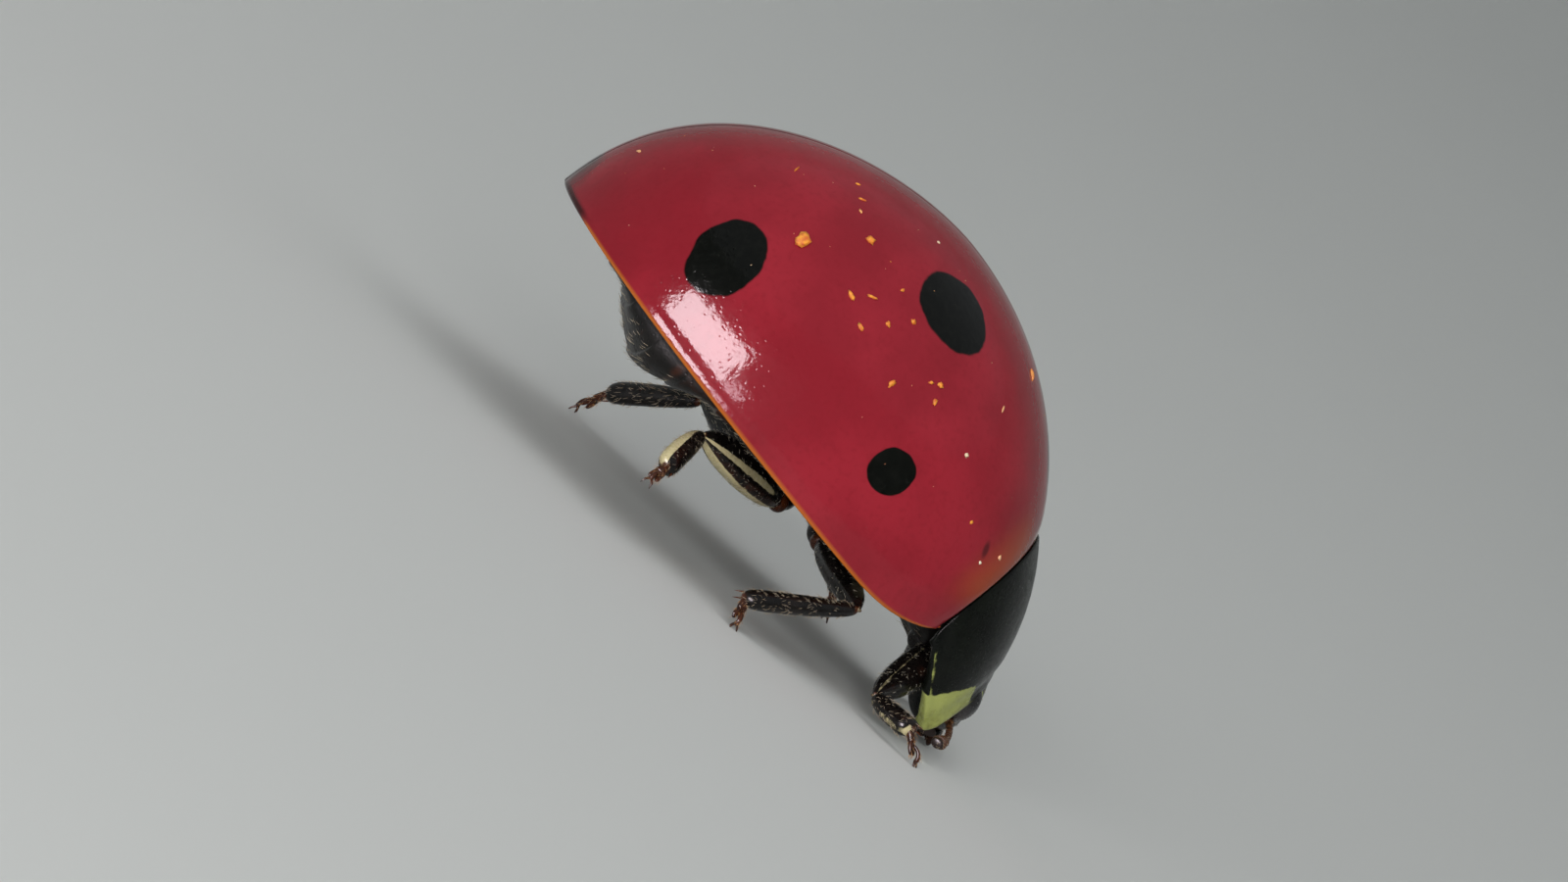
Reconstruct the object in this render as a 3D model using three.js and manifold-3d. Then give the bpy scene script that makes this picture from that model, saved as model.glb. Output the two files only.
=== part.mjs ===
// A seven-spot ladybird, Coccinella septempunctata, as a still life-size model in one fixed pose:
// five feet on the floor, the right hind leg lifted, the head lowered.
//
// Millimetres. +X is the animal's front, +Y its left and +Z up, with the floor at z = 0.
// Points are given in one of two frames:
//   floor frame: x forward from below the tip of the wing cases, z up from the floor
//   body frame:  x along the animal from the tip of the wing cases, z up from their lower edge;
//                it stands TAIL_HEIGHT above the floor and leans nose down by BODY_PITCH

import * as THREE from "three";
import { mergeVertices } from "three/addons/utils/BufferGeometryUtils.js";
import Module from "manifold-3d";

const { clamp, degToRad, lerp, smoothstep } = THREE.MathUtils;
const wasm = await Module();
wasm.setup();

// ---- Driving dimensions ----

const BODY_PITCH = degToRad(12);
const TAIL_HEIGHT = 2.28;
const PLATE = 0.45; // thickness of a wing case or of the neck shield
const GAP = 0.03; // between two pieces that touch
const SEAM = 0.024; // between the two wing cases

// The wing cases together make one dome.
const DOME = {
  tip: 0.0004, // where the dome starts, a hair in front of its pole
  front: 6.37, // front edge at the crest
  shoulder: 6.28, // front edge at the side
  crest: 3.4, // highest and widest point
  height: 3.12,
  halfWidth: 2.95,
  frontReach: 3.55, // from the crest to where the front curve would reach the lower edge
  shoulderLift: 0.34, // how far the lower edge rises at the shoulder
  liftFrom: 5.0, // where that rise starts
  spread: 1.8, // sections lie closer together towards the tail, by this power
  sections: 19, // from the tail to the front
  facets: 9, // from the lower edge to the crest
};
const SCUTELLUM = { length: 0.46, halfWidth: 0.27, depth: 0.3, sink: 0.01 };

// The neck shield (pronotum) runs from an arc behind to a smaller, lower arc in front.
const SHIELD = {
  rear: { top: [6.41, 1.66], side: [6.32, 0.22], halfWidth: 1.8 },
  front: { top: [7.32, 0.26], side: [7.19, -0.6], halfWidth: 1.3 },
  bulge: 0.13,
  bulgeTo: [0.75, 0.8, 0.65], // how much of the bulge goes forwards, sideways and up
  tuck: 0.26, // how far the inner front edge lies behind the outer one
  sections: 5, // from the rear edge to the front one
  facets: 16, // from side to side
};

const HEAD = { at: [7.1, 0, -0.13], half: [0.41, 0.82, 0.53] };
const MOUTH = { at: [7.33, 0, -0.55], half: [0.17, 0.34, 0.17] };
const EYE = { at: [7.23, 0.7, -0.07], half: [0.2, 0.17, 0.27] };
const FEELER_RADIUS = 0.21;
const FEELER_ROUTE = [
  [7.17, 0.5, -0.31],
  [7.38, 0.86, -0.38],
  [7.395, 1.2, -0.44],
  [7.34, 1.5, -0.53],
];
const PALP_ROUTE = [
  [7.1, 0.3, -0.45],
  [7.13, 0.46, -0.56],
  [7.17, 0.6, -0.6],
];

const THORAX = { rear: 3.98, front: 5.94, floor: -0.05 };
// The neck tapers from its rear end to its front end, each given as [rear, front].
const NECK = { at: [5.99, 6.7], halfWidth: [1.2, 0.72], top: [1.1, 0.06], bottom: [0, -0.2], hollow: 1.3 };
const ABDOMEN = { rear: 0.5, front: 3.95, plates: 6, step: 0.035, overlap: 0.04 };
const BELLY = { level: -0.06, sag: 0.55, sagFrom: [0.3, 1.2], lowest: 1.8, spread: 0.75 };

// Hips in the body frame, right side; each leg's first piece reaches from near the midline to here.
const HIPS = {
  front: { root: [6.38, 0.26, -0.02], hip: [6.58, 0.6, 0.02] },
  middle: { root: [4.78, 0.34, -0.02], hip: [4.84, 0.92, -0.19] },
  hind: { root: [4.16, 0.3, -0.08], hip: [4.2, 0.9, -0.28] },
};

// The middle of a standing toe, low enough for the floor to cut a small flat on its underside.
const TOE_HEIGHT = 0.03;

// Knees, ankles and toes in the floor frame, as the animal stands. The right hind foot is in the air.
const LEGS = {
  front_right: { knee: [6.16, -1.96, 0.26], ankle: [6.66, -2.48, 0.28], toe: [6.93, -2.58, TOE_HEIGHT] },
  front_left: { knee: [6.64, 1.6, 0.32], ankle: [7.0, 2.12, 0.3], toe: [7.22, 2.26, TOE_HEIGHT] },
  middle_right: { knee: [5.34, -2.52, 0.93], ankle: [4.22, -3.2, 0.3], toe: [4.34, -3.42, TOE_HEIGHT] },
  middle_left: { knee: [5.12, 2.32, 0.98], ankle: [5.54, 2.98, 0.38], toe: [5.68, 3.14, TOE_HEIGHT] },
  hind_right: { knee: [2.8, -2.42, 1.32], ankle: [2.7, -3.44, 0.92], toe: [2.64, -3.78, 0.74] },
  hind_left: { knee: [2.96, 2.42, 1.12], ankle: [2.12, 3.1, 0.44], toe: [1.96, 3.34, TOE_HEIGHT] },
};

// Radius along each leg piece, as [share of its length, radius].
const COXA_GIRTH = [[0, 0.12], [0.12, 0.2], [0.6, 0.22], [0.9, 0.19], [1, 0.1]];
const FEMUR_GIRTH = [
  [0, 0.12], [0.07, 0.2], [0.3, 0.25], [0.62, 0.26], [0.88, 0.235], [0.97, 0.18], [1, 0.09],
];
const TIBIA_GIRTH = [[0, 0.12], [0.08, 0.2], [0.4, 0.225], [0.9, 0.23], [0.98, 0.18], [1, 0.1]];
const TARSUS_GIRTH = [[0, 0.12], [0.12, 0.2], [0.5, 0.22], [0.86, 0.21], [1, 0.12]];
const PALP_GIRTH = [[0, 0.1], [0.2, 0.14], [0.55, 0.15], [0.85, 0.2], [1, 0.12]];

const MATERIALS = {
  red: new THREE.MeshStandardMaterial({ color: "#9a2734", roughness: 0.28, metalness: 0 }),
  black: new THREE.MeshStandardMaterial({ color: "#17181a", roughness: 0.4, metalness: 0 }),
  leg: new THREE.MeshStandardMaterial({ color: "#1d1a18", roughness: 0.45, metalness: 0 }),
  belly: new THREE.MeshStandardMaterial({ color: "#1a1716", roughness: 0.55, metalness: 0 }),
  eye: new THREE.MeshStandardMaterial({ color: "#0c0c0e", roughness: 0.2, metalness: 0 }),
  feeler: new THREE.MeshStandardMaterial({ color: "#4a3220", roughness: 0.5, metalness: 0 }),
};

// ---- Closed meshes ----

// A closed solid through rings of points. Each ring has an even number of points, of which the
// first half and the second half run along its two sides, so that each end closes as a ladder.
function loft(rings) {
  const count = rings[0].length;
  const index = [];
  const quad = (a, b, c, d) => index.push(a, b, c, a, c, d);
  for (let i = 0; i + 1 < rings.length; i++) {
    for (let j = 0; j < count; j++) {
      const next = (j + 1) % count;
      quad(i * count + j, i * count + next, (i + 1) * count + next, (i + 1) * count + j);
    }
  }
  const last = (rings.length - 1) * count;
  for (let j = 0; j < count / 2 - 1; j++) {
    const across = count - 1 - j;
    quad(j, across, across - 1, j + 1);
    quad(last + j, last + j + 1, last + across - 1, last + across);
  }
  const geometry = new THREE.BufferGeometry();
  const numbers = rings.flat().flatMap((p) => [p.x, p.y, p.z]);
  geometry.setAttribute("position", new THREE.Float32BufferAttribute(numbers, 3));
  geometry.setIndex(index);
  return signedVolume(geometry) < 0 ? turnedInsideOut(geometry) : geometry;
}

function signedVolume(geometry) {
  const at = geometry.attributes.position;
  const [a, b, c] = [0, 0, 0].map(() => new THREE.Vector3());
  let volume = 0;
  for (let i = 0; i < geometry.index.count; i += 3) {
    a.fromBufferAttribute(at, geometry.index.getX(i));
    b.fromBufferAttribute(at, geometry.index.getX(i + 1));
    c.fromBufferAttribute(at, geometry.index.getX(i + 2));
    volume += a.dot(b.cross(c)) / 6;
  }
  return volume;
}

function turnedInsideOut(geometry) {
  const order = geometry.index.array;
  for (let i = 0; i < order.length; i += 3) {
    [order[i + 1], order[i + 2]] = [order[i + 2], order[i + 1]];
  }
  return geometry;
}

// A plate between an outer and an inner surface, each a function of the share along and around.
function plate(along, around, outer, inner) {
  const rings = shares(along).map((s) => [
    ...shares(around).map((t) => outer(s, t)),
    ...shares(around).reverse().map((t) => inner(s, t)),
  ]);
  return loft(rings);
}

const shares = (steps) => Array.from({ length: steps + 1 }, (_, i) => i / steps);

// A limb along a smooth route of points. Its girth is a list of [share of the length, radius].
function limb(route, girth, grow = 0, sides = 8) {
  const curve = new THREE.CatmullRomCurve3(route.map((p) => new THREE.Vector3(...p)));
  const up = new THREE.Vector3(0, 0, 1);
  const rings = girth.map(([share, radius]) => {
    const centre = curve.getPoint(share);
    const ahead = curve.getTangent(share);
    const across = new THREE.Vector3().crossVectors(up, ahead).normalize();
    const over = new THREE.Vector3().crossVectors(ahead, across);
    centre.addScaledVector(ahead, grow * (2 * share - 1));
    return shares(sides).slice(0, sides).map((turn) => {
      const angle = 2 * Math.PI * turn;
      return centre.clone()
        .addScaledVector(across, (radius + grow) * Math.cos(angle))
        .addScaledVector(over, (radius + grow) * Math.sin(angle));
    });
  });
  return loft(rings);
}

function ellipsoid({ at, half }, grow = 0, turns = 16, rows = 10) {
  const geometry = new THREE.SphereGeometry(1, turns, rows);
  return geometry
    .scale(half[0] + grow, half[1] + grow, half[2] + grow)
    .rotateY(-BODY_PITCH) // upright to the floor
    .translate(...at);
}

// ---- Cutting ----

function solidOf(geometry) {
  const bare = geometry.clone();
  bare.deleteAttribute("normal");
  bare.deleteAttribute("uv");
  const merged = mergeVertices(bare, 1e-4);
  return new wasm.Manifold(new wasm.Mesh({
    numProp: 3,
    vertProperties: new Float32Array(merged.attributes.position.array),
    triVerts: new Uint32Array(merged.index.array),
  }));
}

function geometryOf(solid) {
  const { vertProperties, triVerts } = solid.getMesh();
  const geometry = new THREE.BufferGeometry();
  geometry.setAttribute("position", new THREE.BufferAttribute(vertProperties, 3));
  geometry.setIndex(new THREE.BufferAttribute(triVerts, 1));
  return geometry;
}

// What is left of a solid after the cuts, without any loose slivers.
function cut(geometry, cutters) {
  const rest = cutters.reduce((solid, cutter) => solid.subtract(solidOf(cutter)), solidOf(geometry));
  const bodies = rest.decompose().sort((a, b) => b.volume() - a.volume());
  return geometryOf(bodies[0]);
}

const mirrored = ([x, y, z], side) => [x, side * y, z];

// ---- Wing cases ----

// Falls from 1 at share 0 to 0 at share 1: a quarter circle with both powers at 2.
const roundOff = (share, power, root = 2) => Math.max(0, 1 - share ** power) ** (1 / root);

function domeHeight(x) {
  const { crest, height, frontReach } = DOME;
  return height * (x < crest ? roundOff(1 - x / crest, 1.75, 2.2) : roundOff((x - crest) / frontReach, 2));
}

function domeHalfWidth(x) {
  const { crest, halfWidth, frontReach } = DOME;
  return halfWidth * (x < crest ? roundOff(1 - x / crest, 2.2) : roundOff((x - crest) / frontReach, 2.8));
}

function lowerEdge(x) {
  const share = clamp((x - DOME.liftFrom) / (DOME.front - DOME.liftFrom), 0, 1);
  return DOME.shoulderLift * share ** 3;
}

// A point of the dome's right half: s runs from the tail to the front edge, t from the lower edge
// up to the crest.
function domePoint(s, t) {
  const angle = (Math.PI / 2) * t;
  const end = lerp(DOME.shoulder, DOME.front, Math.sin(angle));
  const x = lerp(DOME.tip, end, s ** DOME.spread);
  const base = lowerEdge(x);
  const up = base + (domeHeight(x) - base) * Math.sin(angle);
  return new THREE.Vector3(x, -domeHalfWidth(x) * Math.cos(angle), up);
}

// The same point moved inwards by a depth, along the dome's own normal.
function domeInner(s, t, depth) {
  const d = 1e-3;
  const [s0, s1] = [clamp(s - d, 0, 1), clamp(s + d, 0, 1)];
  const [t0, t1] = [clamp(t - d, 0, 1), clamp(t + d, 0, 1)];
  const along = domePoint(s1, t).sub(domePoint(s0, t));
  const around = domePoint(s, t1).sub(domePoint(s, t0));
  const inwards = around.cross(along).normalize();
  return domePoint(s, t).addScaledVector(inwards, depth);
}

function wingCase(side) {
  const placed = (p) => new THREE.Vector3(p.x, side * (Math.max(0, -p.y) + SEAM / 2), p.z);
  const whole = plate(
    DOME.sections,
    DOME.facets,
    (s, t) => placed(domePoint(s, t)),
    (s, t) => placed(domeInner(s, t, PLATE)),
  );
  return cut(whole, [scutellum(GAP)]);
}

// The small triangle between the wing cases' front corners, point backwards.
function scutellum(grow = 0) {
  const { depth, sink } = SCUTELLUM;
  const length = SCUTELLUM.length + 2 * grow;
  const halfWidth = SCUTELLUM.halfWidth + grow;
  const outline = new THREE.Shape();
  outline.moveTo(0, halfWidth);
  outline.lineTo(0, -halfWidth);
  outline.quadraticCurveTo(-length * 0.6, -halfWidth * 0.7, -length, 0);
  outline.quadraticCurveTo(-length * 0.6, halfWidth * 0.7, 0, halfWidth);
  const options = { depth: depth + 2 * grow, bevelEnabled: false, curveSegments: 4 };
  const back = DOME.front - SCUTELLUM.length;
  const slope = Math.atan2(domeHeight(back) - domeHeight(DOME.front), SCUTELLUM.length);
  return new THREE.ExtrudeGeometry(outline, options)
    .translate(grow, 0, -depth - grow)
    .rotateY(slope)
    .translate(DOME.front - sink, 0, domeHeight(DOME.front) - sink);
}

// ---- Neck shield ----

function shieldArc({ top, side, halfWidth }, t, inset = 0) {
  const angle = Math.PI * t;
  const up = Math.sin(angle);
  return new THREE.Vector3(
    lerp(side[0], top[0], up),
    -(halfWidth - inset) * Math.cos(angle),
    lerp(side[1], top[1] - inset, up),
  );
}

function shieldPoint(s, t, inset = 0) {
  const from = shieldArc(SHIELD.rear, t, inset);
  const to = shieldArc(SHIELD.front, t, inset);
  if (inset) to.x -= SHIELD.tuck;
  const [up, out] = [Math.sin(Math.PI * t), -Math.cos(Math.PI * t)];
  const swell = SHIELD.bulge * 4 * s * (1 - s);
  const outwards = new THREE.Vector3(up, out, up).multiply(new THREE.Vector3(...SHIELD.bulgeTo));
  return from.lerp(to, s).addScaledVector(outwards, swell);
}

function neckShield() {
  const outer = (s, t) => shieldPoint(s, t);
  const inner = (s, t) => shieldPoint(s, t, PLATE);
  const whole = plate(SHIELD.sections, SHIELD.facets, outer, inner);
  return cut(whole, [ellipsoid(HEAD, GAP), eyeOn(-1, GAP), eyeOn(1, GAP), ...hollowsFor(["front"])]);
}

// ---- Head ----

const eyeOn = (side, grow = 0) => ellipsoid({ at: mirrored(EYE.at, side), half: EYE.half }, grow, 10, 8);

function feeler(side, grow = 0) {
  const girth = [0, 0.05, 0.28, 0.5, 0.74, 0.94, 1].map((share) => {
    const blunt = share === 0 || share === 1 ? 0.5 : 1;
    return [share, FEELER_RADIUS * blunt * (1 + 0.08 * share)];
  });
  return limb(FEELER_ROUTE.map((p) => mirrored(p, side)), girth, grow);
}

function palp(side) {
  return limb(PALP_ROUTE.map((p) => mirrored(p, side)), PALP_GIRTH);
}

const head = () => cut(ellipsoid(HEAD), [-1, 1].map((side) => eyeOn(side, GAP)));
const mouthparts = () => cut(ellipsoid(MOUTH, 0, 12, 6), [ellipsoid(HEAD, GAP)]);

function onHead(geometry, side) {
  return cut(geometry, [ellipsoid(HEAD, GAP), ellipsoid(MOUTH, GAP), eyeOn(side, GAP)]);
}

// ---- Body below the plates ----

// Closed cross-section of the soft body near x: the top follows the wing cases' inside, the
// bottom sags to the given level.
function bodyRing(x, bottom) {
  const s = ((x - DOME.tip) / (DOME.front - DOME.tip)) ** (1 / DOME.spread);
  const steps = shares(13);
  const top = steps.map((share) => {
    const side = share < 0.5 ? -1 : 1;
    const p = domeInner(s, 1 - Math.abs(2 * share - 1), PLATE + 2 * GAP);
    return new THREE.Vector3(p.x, side * Math.max(0, -p.y), p.z);
  });
  const rim = top[0];
  const below = steps.map((share) => {
    const angle = Math.PI * share;
    const level = lerp(rim.z - 0.02, bottom, Math.sin(angle) ** 0.7);
    return new THREE.Vector3(rim.x, -rim.y * Math.cos(angle) * 0.995, level);
  });
  return [...top, ...below];
}

// The belly's underside, lowest a little behind the middle of the abdomen.
function bellyLevel(x) {
  const sag = Math.exp(-(((x - BELLY.lowest) / BELLY.spread) ** 2));
  return BELLY.level - BELLY.sag * sag * smoothstep(x, ...BELLY.sagFrom);
}

function abdomen() {
  const length = ABDOMEN.front - ABDOMEN.rear;
  const rings = [];
  for (let i = 0; i < ABDOMEN.plates; i++) {
    const back = ABDOMEN.rear + (length * i) / ABDOMEN.plates;
    const front = ABDOMEN.rear + (length * (i + 1)) / ABDOMEN.plates;
    rings.push(bodyRing(back, bellyLevel(back) - ABDOMEN.step));
    rings.push(bodyRing(front - ABDOMEN.overlap, bellyLevel(front)));
  }
  return loft(rings);
}

function thorax() {
  const levels = shares(6).map((share) => lerp(THORAX.rear, THORAX.front, share));
  const block = loft(levels.map((x) => bodyRing(x, THORAX.floor)));
  return cut(block, hollowsFor(["middle", "hind"]));
}

// The front body segment below the neck shield, tapering towards the head.
function neck() {
  const rings = shares(5).map((share) => {
    const x = lerp(...NECK.at, share);
    const halfWidth = lerp(...NECK.halfWidth, share);
    const top = lerp(...NECK.top, share ** NECK.hollow);
    const bottom = lerp(...NECK.bottom, share);
    return shares(16).slice(0, 16).map((turn) => {
      const angle = 2 * Math.PI * turn;
      const up = (1 + Math.sin(angle)) / 2;
      return new THREE.Vector3(x, halfWidth * Math.cos(angle), lerp(bottom, top, up));
    });
  });
  return cut(loft(rings), [ellipsoid(HEAD, GAP), ...hollowsFor(["front"])]);
}

// ---- Legs ----

const SIDES = { right: -1, left: 1 };

const bodyToFloor = new THREE.Matrix4()
  .makeRotationY(BODY_PITCH)
  .setPosition(0, 0, TAIL_HEIGHT);
const floorToBody = bodyToFloor.clone().invert();

function coxa(pair, side, grow = 0) {
  const { root, hip } = HIPS[pair];
  return limb([mirrored(root, side), mirrored(hip, side)], COXA_GIRTH, grow);
}

// The femur of a leg such as "front_right", in the floor frame.
function femur(leg, grow = 0) {
  const [pair, sideName] = leg.split("_");
  const hip = new THREE.Vector3(...mirrored(HIPS[pair].hip, SIDES[sideName])).applyMatrix4(bodyToFloor);
  return limb([hip.toArray(), LEGS[leg].knee], FEMUR_GIRTH, grow);
}

// What the body is hollowed by, so that the coxae and femurs of these pairs of legs sit clear of it.
function hollowsFor(pairs) {
  return pairs.flatMap((pair) =>
    Object.entries(SIDES).flatMap(([name, side]) => [
      coxa(pair, side, GAP),
      femur(`${pair}_${name}`, GAP).applyMatrix4(floorToBody),
    ]),
  );
}

const belowFloor = () => new THREE.BoxGeometry(20, 20, 2).translate(DOME.crest, 0, -1);

// One leg's femur, tibia and tarsus, each cut clear of the piece before it.
function legPieces(leg) {
  const [pair, sideName] = leg.split("_");
  const { knee, ankle, toe } = LEGS[leg];
  const tibia = (grow) => limb([knee, ankle], TIBIA_GIRTH, grow);
  return {
    femur: cut(femur(leg), [coxa(pair, SIDES[sideName], GAP).applyMatrix4(bodyToFloor)]),
    tibia: cut(tibia(0), [femur(leg, GAP)]),
    tarsus: cut(limb([ankle, toe], TARSUS_GIRTH), [tibia(GAP), belowFloor()]),
  };
}

// ---- Assembly ----

function named(name, geometry, material) {
  const mesh = new THREE.Mesh(geometry, material);
  mesh.name = name;
  return mesh;
}

function bodyGroup() {
  const group = new THREE.Group();
  const add = (name, geometry, material) => group.add(named(name, geometry, material));
  add("scutellum", scutellum(), MATERIALS.black);
  add("pronotum", neckShield(), MATERIALS.black);
  add("head", head(), MATERIALS.black);
  add("mouthparts", mouthparts(), MATERIALS.black);
  add("prothorax", neck(), MATERIALS.belly);
  add("thorax", thorax(), MATERIALS.belly);
  add("abdomen", abdomen(), MATERIALS.belly);
  for (const [name, side] of Object.entries(SIDES)) {
    add(`elytron_${name}`, wingCase(side), MATERIALS.red);
    add(`eye_${name}`, eyeOn(side), MATERIALS.eye);
    add(`antenna_${name}`, onHead(feeler(side), side), MATERIALS.feeler);
    add(`palp_${name}`, onHead(palp(side), side), MATERIALS.feeler);
    for (const pair of Object.keys(HIPS)) {
      add(`coxa_${pair}_${name}`, coxa(pair, side), MATERIALS.leg);
    }
  }
  group.rotation.y = BODY_PITCH;
  group.position.z = TAIL_HEIGHT;
  return group;
}

function legGroup() {
  const group = new THREE.Group();
  for (const leg of Object.keys(LEGS)) {
    for (const [piece, geometry] of Object.entries(legPieces(leg))) {
      group.add(named(`${piece}_${leg}`, geometry, MATERIALS.leg));
    }
  }
  return group;
}

// The animal, with the middle of its bounding box over the origin.
const animal = new THREE.Group();
animal.add(bodyGroup(), legGroup());
animal.updateMatrixWorld(true);
const middle = new THREE.Box3().setFromObject(animal, true).getCenter(new THREE.Vector3());
animal.position.set(-middle.x, -middle.y, 0);

const ladybird = new THREE.Group();
ladybird.add(animal);

export default ladybird;
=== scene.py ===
"""A seven-spot ladybird, Coccinella septempunctata, as a life-size museum model in one fixed pose.

Shapes are worked out in millimetres and set down in metres. Three frames are used:
  row frame:  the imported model's own, floor at z = 0
  body frame: x along the animal from the tip of the wing cases, z up from their lower edge
  head frame: x ahead, y to the animal's left, z up, all as shares of the head's half sizes
"""

import math

import bmesh
import bpy
import numpy as np
from mathutils import Matrix, Vector

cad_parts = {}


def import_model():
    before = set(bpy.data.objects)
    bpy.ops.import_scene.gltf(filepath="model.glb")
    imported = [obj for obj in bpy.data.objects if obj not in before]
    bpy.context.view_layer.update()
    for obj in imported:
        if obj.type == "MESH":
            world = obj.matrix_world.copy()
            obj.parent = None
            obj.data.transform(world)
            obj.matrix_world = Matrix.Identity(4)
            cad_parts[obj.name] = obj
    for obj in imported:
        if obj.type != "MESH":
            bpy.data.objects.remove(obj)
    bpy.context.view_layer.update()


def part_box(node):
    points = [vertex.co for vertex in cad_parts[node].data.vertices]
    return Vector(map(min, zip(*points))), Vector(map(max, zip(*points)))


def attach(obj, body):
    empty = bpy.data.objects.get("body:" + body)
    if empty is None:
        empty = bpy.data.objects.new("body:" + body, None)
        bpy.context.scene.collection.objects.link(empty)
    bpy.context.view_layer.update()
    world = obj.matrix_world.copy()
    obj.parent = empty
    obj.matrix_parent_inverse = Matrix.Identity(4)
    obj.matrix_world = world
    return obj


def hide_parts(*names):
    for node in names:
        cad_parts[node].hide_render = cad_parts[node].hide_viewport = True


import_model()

MM = 0.001
SIDES = {"right": -1, "left": 1}
PITCH = math.radians(12)  # the body leans nose down
TAIL_HEIGHT = 2.28


# ---- Places taken from the frame ----


def box_mm(node):
    low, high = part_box(node)
    return np.array(low) / MM, np.array(high) / MM


def middle_and_half(node):
    """The middle and the half sizes of a CAD part's box."""
    low, high = box_mm(node)
    return (low + high) / 2, (high - low) / 2


TAIL_X = box_mm("elytron_right")[0][0]
MID_Y = (box_mm("elytron_right")[1][1] + box_mm("elytron_left")[0][1]) / 2


def body_to_row(points):
    x, y, z = np.moveaxis(np.asarray(points, float), -1, 0)
    ahead = x * math.cos(PITCH) + z * math.sin(PITCH) + TAIL_X
    up = z * math.cos(PITCH) - x * math.sin(PITCH) + TAIL_HEIGHT
    return xyz(ahead, y + MID_Y, up)


def to_side(points, side):
    """Points of the left side in the body frame, set on a side of the row frame."""
    return body_to_row(np.array(points) * [1, side, 1])


def row_to_body(points):
    x, y, z = np.moveaxis(np.asarray(points, float) - [TAIL_X, MID_Y, TAIL_HEIGHT], -1, 0)
    along = x * math.cos(PITCH) - z * math.sin(PITCH)
    up = x * math.sin(PITCH) + z * math.cos(PITCH)
    return xyz(along, y, up)


# ---- Small mathematics ----


def xyz(x, y, z):
    """Points from their three coordinates, which may differ in shape."""
    return np.stack(np.broadcast_arrays(x, y, z), -1)


def unit(v):
    v = np.asarray(v, float)
    return v / np.maximum(np.linalg.norm(v, axis=-1, keepdims=True), 1e-12)


def square_to(v, axis):
    """The direction of the part of v that is square to an axis."""
    axis = unit(axis)
    return unit(v - axis * np.dot(v, axis))


def lerp(a, b, share):
    return a + (b - a) * share


def rising(x, low, high):
    """0 up to low, 1 from high, and smooth between."""
    share = np.clip((x - low) / (high - low), 0, 1)
    return share * share * (3 - 2 * share)


def falling(x, low, high):
    return rising(-x, -high, -low)


def hump(x, middle, width):
    return np.exp(-(((x - middle) / width) ** 2))


def turns(count):
    return 2 * np.pi * np.arange(count) / count


def shares(steps):
    return np.linspace(0, 1, steps + 1)


def eased(steps):
    """Shares from 0 to 1 that lie closer together towards both ends."""
    return 0.5 - 0.5 * np.cos(np.pi * shares(steps))


def curve_through(values, at):
    """Smooth values at shares of the way through evenly spaced numbers or points."""
    values = np.asarray(values, float)
    last = len(values) - 1
    spot = np.clip(np.asarray(at, float) * last, 0, last)
    i = np.minimum(spot.astype(int), last - 1)
    f = (spot - i).reshape(spot.shape + (1,) * (values.ndim - 1))
    before, a, b, after = (values[np.clip(i + k, 0, last)] for k in (-1, 0, 1, 2))
    slope_a, slope_b = (b - before) / 2, (after - a) / 2
    return (
        a * (2 * f**3 - 3 * f**2 + 1)
        + slope_a * (f**3 - 2 * f**2 + f)
        + b * (3 * f**2 - 2 * f**3)
        + slope_b * (f**3 - f**2)
    )


# ---- Shapes: points, faces, marks for the materials, and a place on the shape's own unwrap ----

PALE, BROWN = 0, 1  # the marks: where a shape is paler, and where brown or amber comes through


class Shape:
    def __init__(self, points, faces, marks=None, unwrap=None):
        self.points = np.asarray(points, float)
        self.faces = faces
        self.marks = np.zeros((len(self.points), 3)) if marks is None else np.asarray(marks, float)
        self.unwrap = np.zeros((len(self.points), 2)) if unwrap is None else unwrap

    def marked(self, mark, values):
        self.marks[:, mark] = values
        return self

    def moved(self, change):
        self.points = change(self.points)
        return self


def joined(*shapes):
    faces, start = [], 0
    for shape in shapes:
        faces += [tuple(corner + start for corner in face) for face in shape.faces]
        start += len(shape.points)
    return Shape(
        np.concatenate([s.points for s in shapes]),
        faces,
        np.concatenate([s.marks for s in shapes]),
        np.concatenate([s.unwrap for s in shapes]),
    )


def grid_faces(rows, columns, wrap):
    """Quads over points laid out in rows; wrap joins each row's last point to its first."""
    faces = []
    for i in range(rows - 1):
        for j in range(columns if wrap else columns - 1):
            here, beside = i * columns + j, i * columns + (j + 1) % columns
            faces.append((here, beside, beside + columns, here + columns))
    return faces


def loft(rings, ends=None):
    """A closed shape through rings of points, closed by a fan round a point at each end."""
    rows, columns = rings.shape[:2]
    if ends is None:
        ends = [rings[0].mean(0), rings[-1].mean(0)]
    faces = grid_faces(rows, columns, True)
    first, last = rows * columns, rows * columns + 1
    end = (rows - 1) * columns
    for j in range(columns):
        after = (j + 1) % columns
        faces += [(first, after, j), (last, end + j, end + after)]
    points = np.concatenate([rings.reshape(-1, 3), ends])
    along, around = np.meshgrid(shares(rows - 1), np.arange(columns) / columns, indexing="ij")
    unwrap = np.concatenate([np.stack([around, along], -1).reshape(-1, 2), [[0.5, 0], [0.5, 1]]])
    return Shape(points, faces, unwrap=unwrap)


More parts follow.
